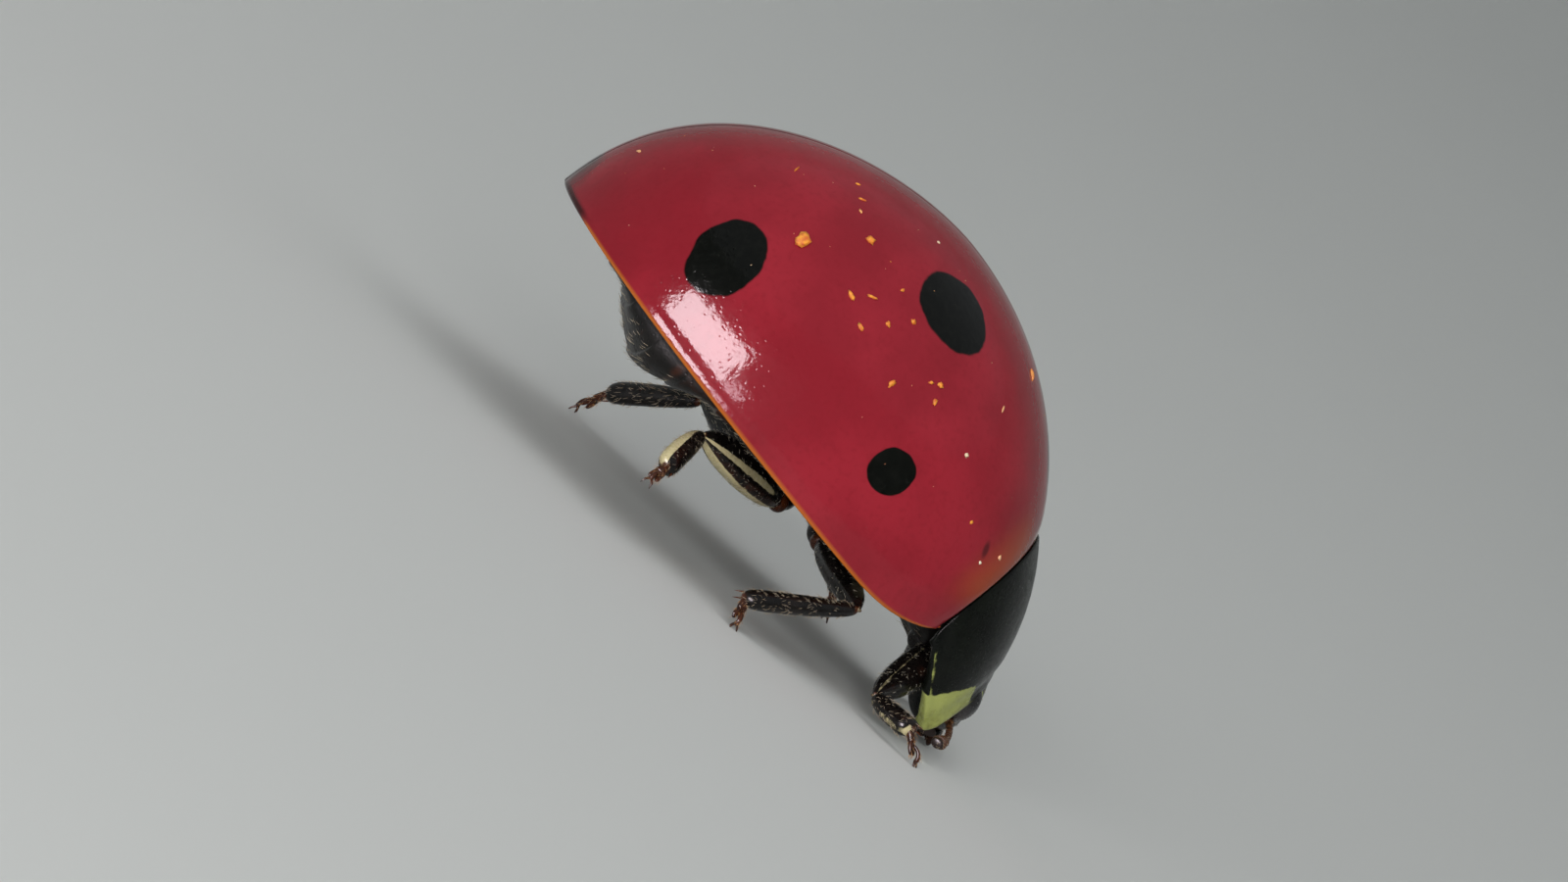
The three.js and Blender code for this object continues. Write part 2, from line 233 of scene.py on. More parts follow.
def shell(outer, inner, along, around, lip, lip_steps=5):
    """A closed plate between two surfaces, each a function of shares, with rounded edges that stand
    out by the lip. Shares may be given unevenly, as arrays."""
    s, t = np.meshgrid(along, around, indexing="ij")
    rows, columns = s.shape
    top, bottom = outer(s, t), inner(s, t)
    index = np.arange(rows * columns).reshape(rows, columns)
    edge = np.concatenate([index[:-1, 0], index[-1, :-1], index[:0:-1, -1], index[0, :0:-1]])
    away = np.zeros_like(top)
    away[:, 0] += unit(top[:, 0] - top[:, 1])
    away[:, -1] += unit(top[:, -1] - top[:, -2])
    away[0] += unit(top[0] - top[1])
    away[-1] += unit(top[-1] - top[-2])
    top, bottom, away = (a.reshape(-1, 3) for a in (top, bottom, away))
    middle, half, away = (top + bottom)[edge] / 2, (top - bottom)[edge] / 2, unit(away[edge])
    layers = [edge]
    points = [top, bottom]
    start = 2 * len(top)
    for k in range(1, lip_steps):
        turn = math.pi * k / lip_steps
        points.append(middle + half * math.cos(turn) + away * lip * math.sin(turn))
        layers.append(start + np.arange(len(edge)))
        start += len(edge)
    layers.append(edge + len(top))
    faces = grid_faces(rows, columns, False)
    faces += [tuple(corner + len(top) for corner in face[::-1]) for face in faces]
    for upper, lower in zip(layers, layers[1:]):
        faces += zip(upper, lower, np.roll(lower, -1), np.roll(upper, -1))
    places = np.stack([s, t], -1).reshape(-1, 2)
    unwrap = np.concatenate([places, places] + [places[edge]] * (lip_steps - 1))
    return Shape(np.concatenate(points), faces, unwrap=unwrap)


def below(surface, depth):
    """The same surface lower down."""
    return lambda s, t: surface(s, t) - [0, 0, depth]


def inwards(surface, s, t, depth):
    """Points of a surface moved by a depth along its own normal."""
    step = 1e-3
    s0, s1 = np.clip(s - step, 0, 1), np.clip(s + step, 0, 1)
    t0, t1 = np.clip(t - step, 0, 1), np.clip(t + step, 0, 1)
    along = surface(s1, t) - surface(s0, t)
    around = surface(s, t1) - surface(s, t0)
    return surface(s, t) + unit(np.cross(around, along)) * np.asarray(depth)[..., None]


def tube(centres, across, over, wide, thick, sides, groove=None):
    """A closed limb: at each centre a ring that is wide one way and thick the other. A groove is a
    function of the share along and the turn, in millimetres."""
    across, over = np.broadcast_to(across, centres.shape), np.broadcast_to(over, centres.shape)
    around = turns(sides)
    dent = groove(shares(len(centres) - 1)[:, None], around) if groove else 0
    x = (wide[:, None] + dent) * np.cos(around)
    y = (thick[:, None] + dent) * np.sin(around)
    return loft(centres[:, None] + across[:, None] * x[..., None] + over[:, None] * y[..., None])


def rounded(at, power):
    """1 along the middle of a limb, falling to 0 at its two ends."""
    return np.sqrt(np.maximum(0, 1 - np.abs(2 * at - 1) ** power))


def straight_limb(start, end, towards, wide, thick, steps, sides, bow=0.0, power=6, groove=None):
    """A limb from start to end. Its wide side lies towards a direction; wide and thick are lists of
    half sizes at even steps of its length, and bow bends its middle that way."""
    across = square_to(towards, end - start)
    at = eased(steps)
    centres = start + (end - start) * at[:, None] + across * (bow * np.sin(np.pi * at))[:, None]
    wide, thick = (curve_through(sizes, at) * rounded(at, power) for sizes in (wide, thick))
    return tube(centres, across, np.cross(unit(end - start), across), wide, thick, sides, groove)


def bent_limb(route, radius, steps, sides, power, flat=1.0, up=(0, 0, 1)):
    """A limb along a smooth route. Radius is a function of the share of the way along."""
    at = eased(steps)
    centres = curve_through(route, at)
    ahead = unit(np.gradient(centres, axis=0))
    across = unit(np.cross(up, ahead))
    size = radius(at) * rounded(at, power)
    return tube(centres, across, np.cross(ahead, across), size, size * flat, sides)


def horn(root, ahead, hook, length, radius, steps, sides):
    """A tapering point that starts ahead and hooks over towards a second direction."""
    full_turn = 1.35
    at = shares(steps)
    ahead, hook, turn = unit(ahead), unit(hook), full_turn * at
    path = ahead * np.sin(turn)[:, None] + hook * (1 - np.cos(turn))[:, None]
    centres = root + path * length / full_turn
    across = unit(np.cross(ahead, hook))
    tangent = unit(np.gradient(centres, axis=0))
    size = radius * ((1 - at) ** 0.8 + 0.06)
    return tube(centres, across, np.cross(tangent, across), size, size, sides)


POLES = np.array([[0, 0, 1], [0, 0, -1]])


def sphere_rings(rows, columns):
    """Rings of points on a sphere of radius 1, without its poles."""
    down, around = np.meshgrid(np.pi * shares(rows)[1:-1], turns(columns), indexing="ij")
    return xyz(np.sin(down) * np.cos(around), np.sin(down) * np.sin(around), np.cos(down))


def ball(centre, half, rows, columns):
    """An ellipsoid with these half sizes."""
    return loft(sphere_rings(rows, columns) * half + centre, POLES * half + centre)


def icosphere(subdivisions):
    """The points and triangles of an even sphere of radius 1."""
    work = bmesh.new()
    bmesh.ops.create_icosphere(work, subdivisions=subdivisions, radius=1)
    points = np.array([v.co for v in work.verts])
    faces = [tuple(v.index for v in f.verts) for f in work.faces]
    work.free()
    return points, faces


# ---- Pieces ----

made = {}


def placed(name, data):
    """A new object, put in the scene."""
    thing = bpy.data.objects.new(name, data)
    bpy.context.scene.collection.objects.link(thing)
    return thing


def piece(name, shape, material, nodes=()):
    """A finished piece of the animal, which stands for these CAD nodes."""
    mesh = bpy.data.meshes.new(name)
    mesh.from_pydata((shape.points * MM).tolist(), [], [tuple(map(int, f)) for f in shape.faces])
    work = bmesh.new()
    work.from_mesh(mesh)
    bmesh.ops.recalc_face_normals(work, faces=work.faces)
    work.to_mesh(mesh)
    work.free()
    mesh.shade_smooth()
    marks = mesh.attributes.new("marks", "FLOAT_COLOR", "POINT")
    marks.data.foreach_set("color", np.pad(shape.marks, ((0, 0), (0, 1)), constant_values=1).ravel())
    mesh.materials.append(material)
    thing = placed(name, mesh)
    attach(thing, "root")
    if nodes:
        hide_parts(*nodes)
    made[name] = shape
    return thing


# ---- Materials ----


def rgb(*seen):
    """A colour given as the eye sees it, red, green and blue from 0 to 255, as linear light."""
    seen = np.array(seen) / 255
    linear = np.where(seen <= 0.04045, seen / 12.92, ((seen + 0.055) / 1.055) ** 2.4)
    return (*linear.tolist(), 1.0)


class Look:
    """A material in the making. Its patterns are fixed to the shape, and measured in millimetres."""

    def __init__(self, name):
        self.material = bpy.data.materials.new(name)
        self.material.use_nodes = True
        self.tree = self.material.node_tree
        place = self.node("TexCoord").outputs["Object"]
        inputs = {0: place, "Scale": 1 / MM}
        self.point = self.node("VectorMath", inputs, operation="SCALE").outputs[0]

    def node(self, kind, inputs=None, **settings):
        """A shader node. Inputs are plain values or the sockets that feed them."""
        fresh = self.tree.nodes.new("ShaderNode" + kind)
        for key, value in settings.items():
            setattr(fresh, key, value)
        for key, value in (inputs or {}).items():
            if isinstance(value, bpy.types.NodeSocket):
                self.tree.links.new(value, fresh.inputs[key])
            else:
                fresh.inputs[key].default_value = value
        return fresh

    def sums(self, operation, a, b=0.0):
        return self.node("Math", {0: a, 1: b}, operation=operation).outputs[0]

    def swing(self, value, reach):
        """A value from 0 to 1 turned into one to either side of 0."""
        return self.sums("MULTIPLY", self.sums("SUBTRACT", value, 0.5), reach)

    def dot(self, a, b):
        return self.node("VectorMath", {0: a, 1: b}, operation="DOT_PRODUCT").outputs["Value"]

    def ramp(self, value, low, high, start=0.0, end=1.0):
        """The value carried smoothly from the range low..high to start..end."""
        inputs = {"Value": value, "From Min": low, "From Max": high, "To Min": start, "To Max": end}
        return self.node("MapRange", inputs, interpolation_type="SMOOTHSTEP").outputs[0]

    def mix(self, share, a, b):
        return self.node("Mix", {0: share, 6: a, 7: b}, data_type="RGBA").outputs[2]

    def blend(self, value, low, high, a, b):
        """From colour a where a value is low to colour b where it is high."""
        return self.mix(self.ramp(value, low, high), a, b)

    def noise(self, per_mm, detail=3.0, rough=0.5):
        inputs = {"Vector": self.point, "Scale": per_mm, "Detail": detail, "Roughness": rough}
        return self.node("TexNoise", inputs).outputs["Fac"]

    def cells(self, per_mm):
        return self.node("TexVoronoi", {"Vector": self.point, "Scale": per_mm}).outputs["Distance"]

    def marks(self):
        """The marks of the shape's points, by number."""
        colour = self.node("Attribute", attribute_name="marks").outputs["Color"]
        return self.node("SeparateColor", {"Color": colour}).outputs

    def finish(self, colour, rough, settings, *relief):
        """The material with its colour, roughness and other values set, and its relief laid on in
        layers, each a height socket and a depth in millimetres."""
        shader = self.tree.nodes["Principled BSDF"]
        self.tree.links.new(colour, shader.inputs["Base Color"])
        self.tree.links.new(rough, shader.inputs["Roughness"])
        for key, value in settings.items():
            shader.inputs[key].default_value = value
        under = {}
        for height, depth in relief:
            inputs = {"Height": height, "Strength": 1.0, "Distance": depth * MM, **under}
            under = {"Normal": self.node("Bump", inputs).outputs["Normal"]}
        for normal in under.values():
            self.tree.links.new(normal, shader.inputs["Normal"])
        return self.material


# Black spots on one wing case, in the body frame and mirrored to the other: middle, the direction
# of the long axis, and half the length and width.
SPOTS = (
    ((1.57, 2.31, 1.07), (-0.08, -0.48, 0.87), 0.53, 0.40),
    ((3.67, 1.60, 2.61), (0.60, 0.62, 0.50), 0.53, 0.49),
    ((4.51, 2.70, 1.05), (0.40, -0.30, 0.86), 0.29, 0.26),
    ((5.78, 0.0, 2.24), (0.55, 0.70, -0.45), 0.46, 0.42),
)
# The whitish patch beside the scutellum, and a painted shadow, a small dark spot, near the shoulder.
PALE_CORNER = ((6.33, 0.42, 1.68), (0.1, 0.95, -0.25), 0.17, 0.065)
SHOULDER_SHADOW = ((5.915, 1.93, 1.27), (-0.6, -0.35, 0.6), 0.11, 0.05)


def body_point(look):
    """A material's point in the body frame, with both sides folded onto the left."""
    tail = Vector((TAIL_X, MID_Y, TAIL_HEIGHT))
    back = Matrix.Rotation(-PITCH, 3, "Y")
    inputs = {"Vector": look.point, "Location": -(back @ tail), "Rotation": (0, -PITCH, 0)}
    turned = look.node("Mapping", inputs).outputs[0]
    return look.node("VectorMath", {0: turned}, operation="ABSOLUTE").outputs[0]


def spot(look, at, wobble, middle, axis, half_length, half_width, soft):
    """1 inside an oval patch and 0 outside it."""
    away = look.node("VectorMath", {0: at, 1: middle}, operation="SUBTRACT").outputs[0]
    along = look.sums("POWER", look.dot(away, Vector(axis).normalized()), 2)
    across = look.sums("SUBTRACT", look.dot(away, away), along)
    along = look.sums("DIVIDE", along, half_length**2)
    across = look.sums("DIVIDE", across, half_width**2)
    size = look.sums("SQRT", look.sums("ADD", across, along))
    return look.ramp(look.sums("ADD", size, wobble), 1 - soft, 1 + soft, 1.0, 0.0)


def wing_case_material():
    look = Look("wing_case_red")
    at = body_point(look)
    mottle, grain = look.noise(0.9, 4), look.noise(14, 3)
    red = look.blend(mottle, 0.35, 0.68, rgb(130, 28, 39), rgb(145, 34, 46))
    red = look.mix(look.ramp(grain, 0.45, 0.8, 0, 0.35), red, rgb(120, 22, 31))
    # the rim shows light through it, and the tip and the seam are painted dark with shade
    marks = look.marks()
    red = look.mix(marks[PALE], red, rgb(186, 104, 28))
    red = look.mix(marks[BROWN], red, rgb(30, 8, 8))
    wobble = look.swing(look.noise(3.2, 2), 0.22)
    # painted shadow: a small dark spot near the shoulder
    shoulder_shadow = look.sums("MULTIPLY", spot(look, at, wobble, *SHOULDER_SHADOW, 0.5), 0.75)
    red = look.mix(shoulder_shadow, red, rgb(58, 16, 22))
    black = 0.0
    for place in SPOTS:
        black = look.sums("MAXIMUM", black, spot(look, at, wobble, *place, 0.035))
    pale = spot(look, at, wobble, *PALE_CORNER, 0.15)
    colour = look.mix(pale, red, rgb(226, 210, 176))
    colour = look.mix(black, colour, look.blend(grain, 0.4, 0.7, rgb(5, 6, 4), rgb(11, 12, 9)))
    scuffs = look.ramp(look.noise(5.5, 6, 0.7), 0.66, 0.8)
    pits, ripple = look.ramp(look.cells(13), 0.0, 0.3), look.noise(3.5, 3, 0.6)
    relief = (pits, 0.0012), (grain, 0.0014), (ripple, 0.0035), (mottle, 0.012)
    return look.finish(colour, look.ramp(scuffs, 0, 1, 0.1, 0.3), {"IOR": 1.31}, *relief)


def cuticle(name, dark, light, warm, pale, rough, pits_per_mm, depth, bending=1.5):
    """Beetle armour: mottled dark colour with pits and fine wrinkles, pale patches (real markings on the
    plates, painted highlights on the legs), and a warm colour where it is thin. Bending is the index of
    refraction, which sets how strongly it shines."""
    look = Look(name)
    mottle, grain = look.noise(2.5, 5, 0.6), look.noise(30, 3)
    pits = look.ramp(look.cells(pits_per_mm), 0.06, 0.28)
    colour = look.blend(mottle, 0.35, 0.7, dark, light)
    colour = look.mix(look.ramp(pits, 0, 1, 0.4, 0), colour, rgb(4, 4, 4))
    marks = look.marks()
    ragged = look.swing(look.noise(10, 4, 0.6), 0.9)
    colour = look.blend(look.sums("ADD", marks[BROWN], ragged), 0.2, 0.9, colour, warm)
    stain = look.ramp(look.noise(4, 4, 0.7), 0.45, 0.8, 0.0, 0.5)
    patch = look.mix(stain, pale, warm)
    colour = look.blend(look.sums("ADD", marks[PALE], ragged), 0.34, 0.66, colour, patch)
    worn = look.ramp(look.noise(7, 6, 0.7), 0.4, 0.75, *rough)
    relief = (pits, depth), (grain, depth * 0.6), (mottle, depth * 2)
    return look.finish(colour, worn, {"IOR": bending}, *relief)


def eye_material():
    look = Look("eye_black")
    colour = look.blend(look.noise(4, 2), 0.3, 0.7, rgb(12, 11, 14), rgb(34, 24, 22))
    lens = look.ramp(look.cells(30), 0.0, 0.6, 1, 0)
    settings = {"IOR": 1.56, "Coat Weight": 0.5, "Coat Roughness": 0.08}
    return look.finish(colour, look.ramp(lens, 0, 1, 0.3, 0.12), settings, (lens, 0.002))


def hair_material():
    look = Look("hair_pale")
    grey = look.blend(look.noise(6, 3), 0.3, 0.7, rgb(150, 140, 118), rgb(206, 196, 172))
    colour = look.mix(look.marks()[BROWN], grey, rgb(190, 128, 52))
    rough = look.ramp(look.noise(40, 2), 0.3, 0.7, 0.35, 0.55)
    settings = {"IOR": 1.55, "Sheen Weight": 0.2}
    return look.finish(colour, rough, settings, (look.noise(90, 2), 0.0006))


def pollen_material():
    look = Look("pollen_orange")
    shade = look.noise(22, 4)
    orange = look.blend(shade, 0.3, 0.7, rgb(205, 96, 24), rgb(238, 158, 42))
    colour = look.mix(look.marks()[PALE], orange, rgb(238, 226, 196))
    rough = look.ramp(shade, 0.2, 0.8, 0.6, 0.85)
    settings = {"Subsurface Weight": 0.15, "Subsurface Scale": 0.02 * MM}
    return look.finish(colour, rough, settings, (look.cells(60), 0.004))


def floor_material():
    look = Look("floor_pale")
    shade = look.noise(0.02, 2)
    colour = look.mix(shade, (0.67, 0.68, 0.66, 1), (0.7, 0.71, 0.69, 1))
    return look.finish(colour, look.ramp(shade, 0, 1, 0.85, 0.95), {"Specular IOR Level": 0.1})


WING = wing_case_material()
# cream for painted highlights, the sheen where light catches the legs' hairs and edges
HIGHLIGHT_CREAM = rgb(196, 184, 142)
# The plates' black has an olive cast and their pale marks are greenish cream: painted green bounce light
# from leaves, over real black and whitish markings.
PLATE_BLACK = cuticle(
    "plate_black", rgb(5, 7, 5), rgb(12, 15, 10), rgb(50, 26, 14), rgb(158, 164, 92),
    (0.26, 0.42), 21, 0.002, 1.27,
)
UNDERSIDE = cuticle(
    "underside_black", rgb(9, 8, 7), rgb(20, 17, 15), rgb(58, 28, 16), rgb(206, 198, 160),
    (0.38, 0.6), 12, 0.005, 1.36,
)
LEG = cuticle(
    "leg_black", rgb(8, 7, 6), rgb(20, 15, 13), rgb(88, 42, 18), HIGHLIGHT_CREAM,
    (0.22, 0.42), 22, 0.002, 1.4,
)
CLAW = cuticle(
    "claw_brown", rgb(34, 16, 9), rgb(70, 34, 15), rgb(96, 52, 22), HIGHLIGHT_CREAM,
    (0.2, 0.35), 30, 0.001,
)
FEELER = cuticle(
    "feeler_brown", rgb(66, 38, 20), rgb(94, 56, 28), rgb(32, 18, 12), rgb(130, 90, 50),
    (0.35, 0.55), 26, 0.002,
)
EYE = eye_material()
HAIR = hair_material()
POLLEN = pollen_material()


# ---- Wing cases, body frame ----

TIP, FRONT, SHOULDER, CREST = 0.0004, 6.37, 6.28, 3.4
DOME_HEIGHT, DOME_HALF_WIDTH, FRONT_REACH = 3.12, 2.95, 3.55
SHOULDER_LIFT, LIFT_FROM, SPREAD = 0.34, 5.0, 1.8
SEAM = 0.006  # between the wing cases
RIM = 0.024  # radius of their rounded edges


def round_off(share, power, root=2.0):
    """Falls from 1 at share 0 to 0 at share 1."""
    return np.maximum(0, 1 - np.clip(share, 0, 1) ** power) ** (1 / root)


def dome_height(x):
    behind = round_off(1 - x / CREST, 1.75, 2.2)
    return DOME_HEIGHT * np.where(x < CREST, behind, round_off((x - CREST) / FRONT_REACH, 2))


def dome_half_width(x):
    behind = round_off(1 - x / CREST, 2.2)
    return DOME_HALF_WIDTH * np.where(x < CREST, behind, round_off((x - CREST) / FRONT_REACH, 2.8))


def lower_edge(x):
    return SHOULDER_LIFT * np.clip((x - LIFT_FROM) / (FRONT - LIFT_FROM), 0, 1) ** 3


def dome_point(s, t, rim=0.0, seam=0.0):
    """The dome's right half: s from the tail to the front edge, t from the lower edge to the crest.
    It keeps clear of its lower edge by the rim and of the middle by the seam."""
    angle = np.pi / 2 * t
    x = TIP + (lerp(SHOULDER, FRONT, np.sin(angle)) - TIP) * s**SPREAD
    base = lower_edge(x)
    top = dome_height(x)
    base = base + np.minimum(rim, 0.3 * (top - base))
    wide = np.maximum(dome_half_width(x) - seam, 0)
    return xyz(x, -seam - wide * np.cos(angle), base + (top - base) * np.sin(angle))


def wing_base(s, t):
    """The dome as the wing cases' rounded edges leave it."""
    return dome_point(s, t, RIM, SEAM / 2 + RIM)


def wing_surface(s, t):
    """The dome with a narrow gutter above its rim, and its edges rolled down at the front and the seam."""
    point = wing_base(s, t)
    above = point[..., 2] - lower_edge(point[..., 0]) - RIM
    x = point[..., 0]
    gutter = 0.006 * hump(above, 0.08, 0.04) * rising(x, 0.1, 0.6)
    rolled = 0.02 * rising(s, 0.985, 1.0) ** 2 + 0.006 * hump(-point[..., 1], 0, 0.07)
    return inwards(wing_base, s, t, gutter + rolled)


def wing_case(side):
    thickness = lambda s: np.minimum(2 * RIM, 0.6 * dome_half_width(TIP + FRONT * s**SPREAD))
    along = np.concatenate([shares(110)[:-3], [0.978, 0.986, 0.992, 0.996, 1.0]])
    low_rows, top_rows = [0, 0.008, 0.016, 0.024, 0.034, 0.045, 0.06], [0.972, 0.984, 0.993, 1.0]
    around = np.concatenate([low_rows, shares(60)[5:-2], top_rows])
    inside = lambda s, t: inwards(wing_surface, s, t, thickness(s))
    roof = shell(wing_surface, inside, along, around, RIM)
    x, y, z = roof.points.T
    above = z - lower_edge(x)
    s, t = roof.unwrap.T
    # clear and amber at the rim and the front edge, and painted shade at the tip and along the seam
    rim = 0.9 * falling(above, 0.018, 0.036) * rising(x, 0.3, 0.45)
    front = 0.3 * rising(s, 0.955, 0.995) * rising(t, 0.1, 0.3) * falling(t, 0.6, 0.8)
    roof.marked(PALE, np.maximum(rim, front))
    # painted shade: dark at the tip of the wing cases, on the rim near the tip, and along the seam
    tip = falling(x + 0.16 * above, 0.11, 0.15) * hump(y, 0, 0.5) * rising(above, 0.03, 0.06)
    tip_rim_shade = falling(above, 0.05, 0.1) * falling(x, 0.26, 0.42)
    seam = lerp(0.9, 0.5, rising(x, 0.4, 2.4)) * rising(y, -0.06, -0.015) * rising(z, 0.3, 0.8)
    roof.marked(BROWN, np.clip(0.9 * np.maximum(tip, tip_rim_shade) + seam, 0, 1))

    def fold(s, t):
        """The wing case's lower fold (epipleuron), from the rim towards the body."""
        edge = wing_base(s, np.zeros_like(s))
        width = np.minimum(0.42, 0.4 * dome_half_width(edge[..., 0])) * lerp(0.55, 1.0, s)
        edge[..., 1] += 0.05 + width * t
        edge[..., 2] += 0.015 + 0.05 * t - 0.06 * t * (1 - t)
        return edge

    def tongue(s, t):
        """The ledge under the seam, on which the other wing case lies."""
        ledge = inwards(dome_point, s, np.ones_like(s), 0.07)
        ledge[..., 1] = 0.14 * (t - 0.5)
        return ledge

    flap = shell(fold, below(fold, -0.035), 0.2 + 0.8 * shares(80), shares(8), 0.012, 4)
    parts = [roof, flap.marked(PALE, 0.35)]
    if side < 0:
        ledge = shell(tongue, below(tongue, 0.02), 0.01 + 0.97 * shares(80), shares(4), 0.005, 3)
        parts.append(ledge.marked(BROWN, 1.0))
    shape = joined(*parts)
    shape.points[:, 0] = np.maximum(shape.points[:, 0], TIP)
    shape.points[:, 2] = np.maximum(shape.points[:, 2], 0)
    shape.points[:, 1] *= -side
    return shape.moved(body_to_row)


for side_name, side in SIDES.items():
    piece(f"wing_case_{side_name}", wing_case(side), WING, [f"elytron_{side_name}"])


# ---- Scutellum and neck shield, body frame ----


def scutellum():
    length, half_width, lip = 0.45, 0.24, 0.012
    behind = 6.0  # a place on the crest, from which the slope is taken
    slope = math.atan2(dome_height(behind) - dome_height(FRONT), FRONT - behind)

    def triangle(s, t):
        back = length * (1.2 * s * (1 - s) + s * s)
        wide = half_width * ((1 - s) ** 2 + 1.4 * s * (1 - s))
        across = (2 * t - 1) * wide
        up = 0.012 * (1 - (2 * t - 1) ** 2) - 0.01 * s
        x = -back * math.cos(slope) + up * math.sin(slope)
        z = back * math.sin(slope) + up * math.cos(slope)
        return xyz(FRONT - 0.02 + x, across, dome_height(FRONT) - 0.025 + z)

    base = lambda s, t: triangle(s, t) - [0.05, 0, 0.09]
    return shell(triangle, base, 0.96 * shares(16), shares(16), lip).moved(body_to_row)


REAR_ARC = ((6.41, 1.68), (6.31, 0.25), 1.85)  # top, side and half width
FRONT_ARC = ((7.32, 0.26), (7.19, -0.61), 1.3)
BULGE, TUCK = 0.13, 0.12
CORNER = 0.09  # how far its corners are rounded off


def shield_arc(arc, t, inset):
    (top_x, top_z), (side_x, side_z), half_width = arc
    up = np.sin(np.pi * t)
    across = -(half_width - inset) * np.cos(np.pi * t)
    return xyz(lerp(side_x, top_x, up), across, lerp(side_z, top_z - inset, up))


def shield_point(s, t, inset=0.0):
    """s from the rear edge to the front one, t from the right side over the middle to the left."""
    corner = CORNER * (1 - round_off(1 - np.minimum(t, 1 - t) / CORNER, 2))
    s = 0.5 + (s - 0.5) * (1 - 2 * corner)
    back, ahead = shield_arc(REAR_ARC, t, inset), shield_arc(FRONT_ARC, t, inset)
    if inset:
        ahead[..., 0] -= TUCK
    up, out = np.sin(np.pi * t), -np.cos(np.pi * t)
    swell = BULGE * 4 * s * (1 - s)
    gutter = -0.02 * (hump(t, 0.035, 0.018) + hump(t, 0.965, 0.018)) - 0.02 * hump(s, 0.9, 0.05)
    outwards = xyz(0.75 * up, 0.8 * out, 0.65 * up)
    return lerp(back, ahead, s[..., None]) + outwards * (swell + gutter)[..., None]


def neck_shield():
    along = np.concatenate([shares(36)[:-3], [0.94, 0.96, 0.98, 1.0]])
    edge = np.array([0, 0.001, 0.004, 0.009, 0.016, 0.024, 0.033, 0.043])
    around = np.concatenate([edge, shares(90)[5:-5], 1 - edge[::-1]])
    plate = shell(shield_point, lambda s, t: shield_point(s, t, 0.12), along, around, 0.045, 7)
    s, t = plate.unwrap.T
    side = np.minimum(t, 1 - t)
    # pale front corners, wider along the side edge than across the front one, and pale side edges
    corner = rising(s - lerp(0.62, 0.85, np.clip(side / 0.24, 0, 1)), -0.03, 0.03)
    corner = corner * falling(side, 0.21, 0.25)
    front_edge = 0.8 * rising(s, 0.975, 0.995) * falling(side, 0.2, 0.4)
    side_edge = 0.62 * hump(side, 0.012, 0.006) * rising(s, 0.05, 0.2)
    plate.marked(PALE, np.maximum.reduce([corner, front_edge, side_edge]))

    def flange(s, t):
        """The shield's rear edge carried on below the wing cases."""
        point = shield_point(np.full(s.shape, 0.04), lerp(0.03, 0.97, t), 0.09)
        point[..., 0] -= 0.34 * s
        return point

    hidden = shell(flange, below(flange, 0.02), shares(6), shares(60), 0.01, 3)
    return joined(plate, hidden).moved(body_to_row)


piece("scutellum_plate", scutellum(), PLATE_BLACK, ["scutellum"])
piece("neck_shield", neck_shield(), PLATE_BLACK, ["pronotum"])


# ---- Head, row frame ----

HEAD, HEAD_HALF = middle_and_half("head")
HEAD_HALF[1] = 0.82  # wider than its box, because the eyes cut into the CAD head's sides


def on_head(points):
    """From shares of the head's half sizes to the row frame."""
    return HEAD + points * HEAD_HALF


def head_capsule():
    rings = sphere_rings(72, 120)
    x, y, z = np.moveaxis(rings, -1, 0)
    front = rising(x, 0.0, 0.6)
    # a flatter forehead, a shallow dent between the eyes, a cross groove, and the face plate below it
    size = 1 - 0.07 * front * rising(x, 0.5, 1.0)
    side = np.abs(y)
    size -= 0.05 * front * hump(z, 0.25, 0.3) * hump(side, 0.0, 0.35)
    size += 0.03 * front * hump(side, 0.42, 0.12) * hump(z, 0.2, 0.35)
    size -= 0.06 * front * hump(z, -0.36, 0.06) * falling(side, 0.45, 0.62)
    size += 0.04 * front * hump(z, -0.6, 0.16) * falling(side, 0.35, 0.6)
    shape = loft(on_head(rings * size[..., None]), on_head(POLES))
    x, y, z = ((shape.points - HEAD) / HEAD_HALF).T
    # a pale spot beside each eye, and a brown lower edge
    from_spot = np.hypot((np.abs(y) - 0.56) / 0.13, (z - 0.22) / 0.22)
    shape.marked(PALE, falling(from_spot, 0.85, 1.15) * (x > 0))
    return shape.marked(BROWN, 0.7 * falling(z, -0.8, -0.62) * rising(x, 0.2, 0.5))


def eye(name):
    """An ellipsoid covered in small lenses."""
    centre, half = middle_and_half(name)
    points, faces = icosphere(6)
    middles = icosphere(4)[0]
    nearest = np.concatenate([(part @ middles.T).max(1) for part in np.array_split(points, 40)])
    away = np.arccos(np.clip(nearest, -1, 1))
    dip = 0.018 * (away / away.max()) ** 2
    return Shape(centre + points * (1 - dip)[:, None] * half, faces)


def feeler(side):
    """Eleven segments, the last three a club."""
    lengths = np.array([1.5, 1.0, 1.5, 1.1, 1.0, 0.9, 0.8, 0.7, 1.1, 1.1, 1.3])
    sizes = np.array([0.075, 0.062, 0.044, 0.042, 0.042, 0.043, 0.045, 0.05, 0.075, 0.092, 0.084])
    starts = np.concatenate([[0], np.cumsum(lengths)]) / lengths.sum()
    route = [(7.26, 0.56, -0.29), (7.38, 0.86, -0.37), (7.4, 1.2, -0.44), (7.33, 1.52, -0.53)]

    def radius(at):
        which = np.clip(np.searchsorted(starts, at, side="right") - 1, 0, len(sizes) - 1)
        inside = (at - starts[which]) / (starts[which + 1] - starts[which])
        slant = lerp(0.8, 1.1, inside)
        return sizes[which] * slant * (0.5 + 0.5 * rounded(inside, 5)) * round_off((at - 0.92) / 0.08, 2)

    shape = bent_limb(to_side(route, side), radius, steps=150, sides=14, power=60, flat=0.8)
    at = shape.unwrap[:, 1]
    return shape.marked(BROWN, rising(at, 0.72, 0.86)).marked(PALE, 0.4 * hump(at, 0.3, 0.3))


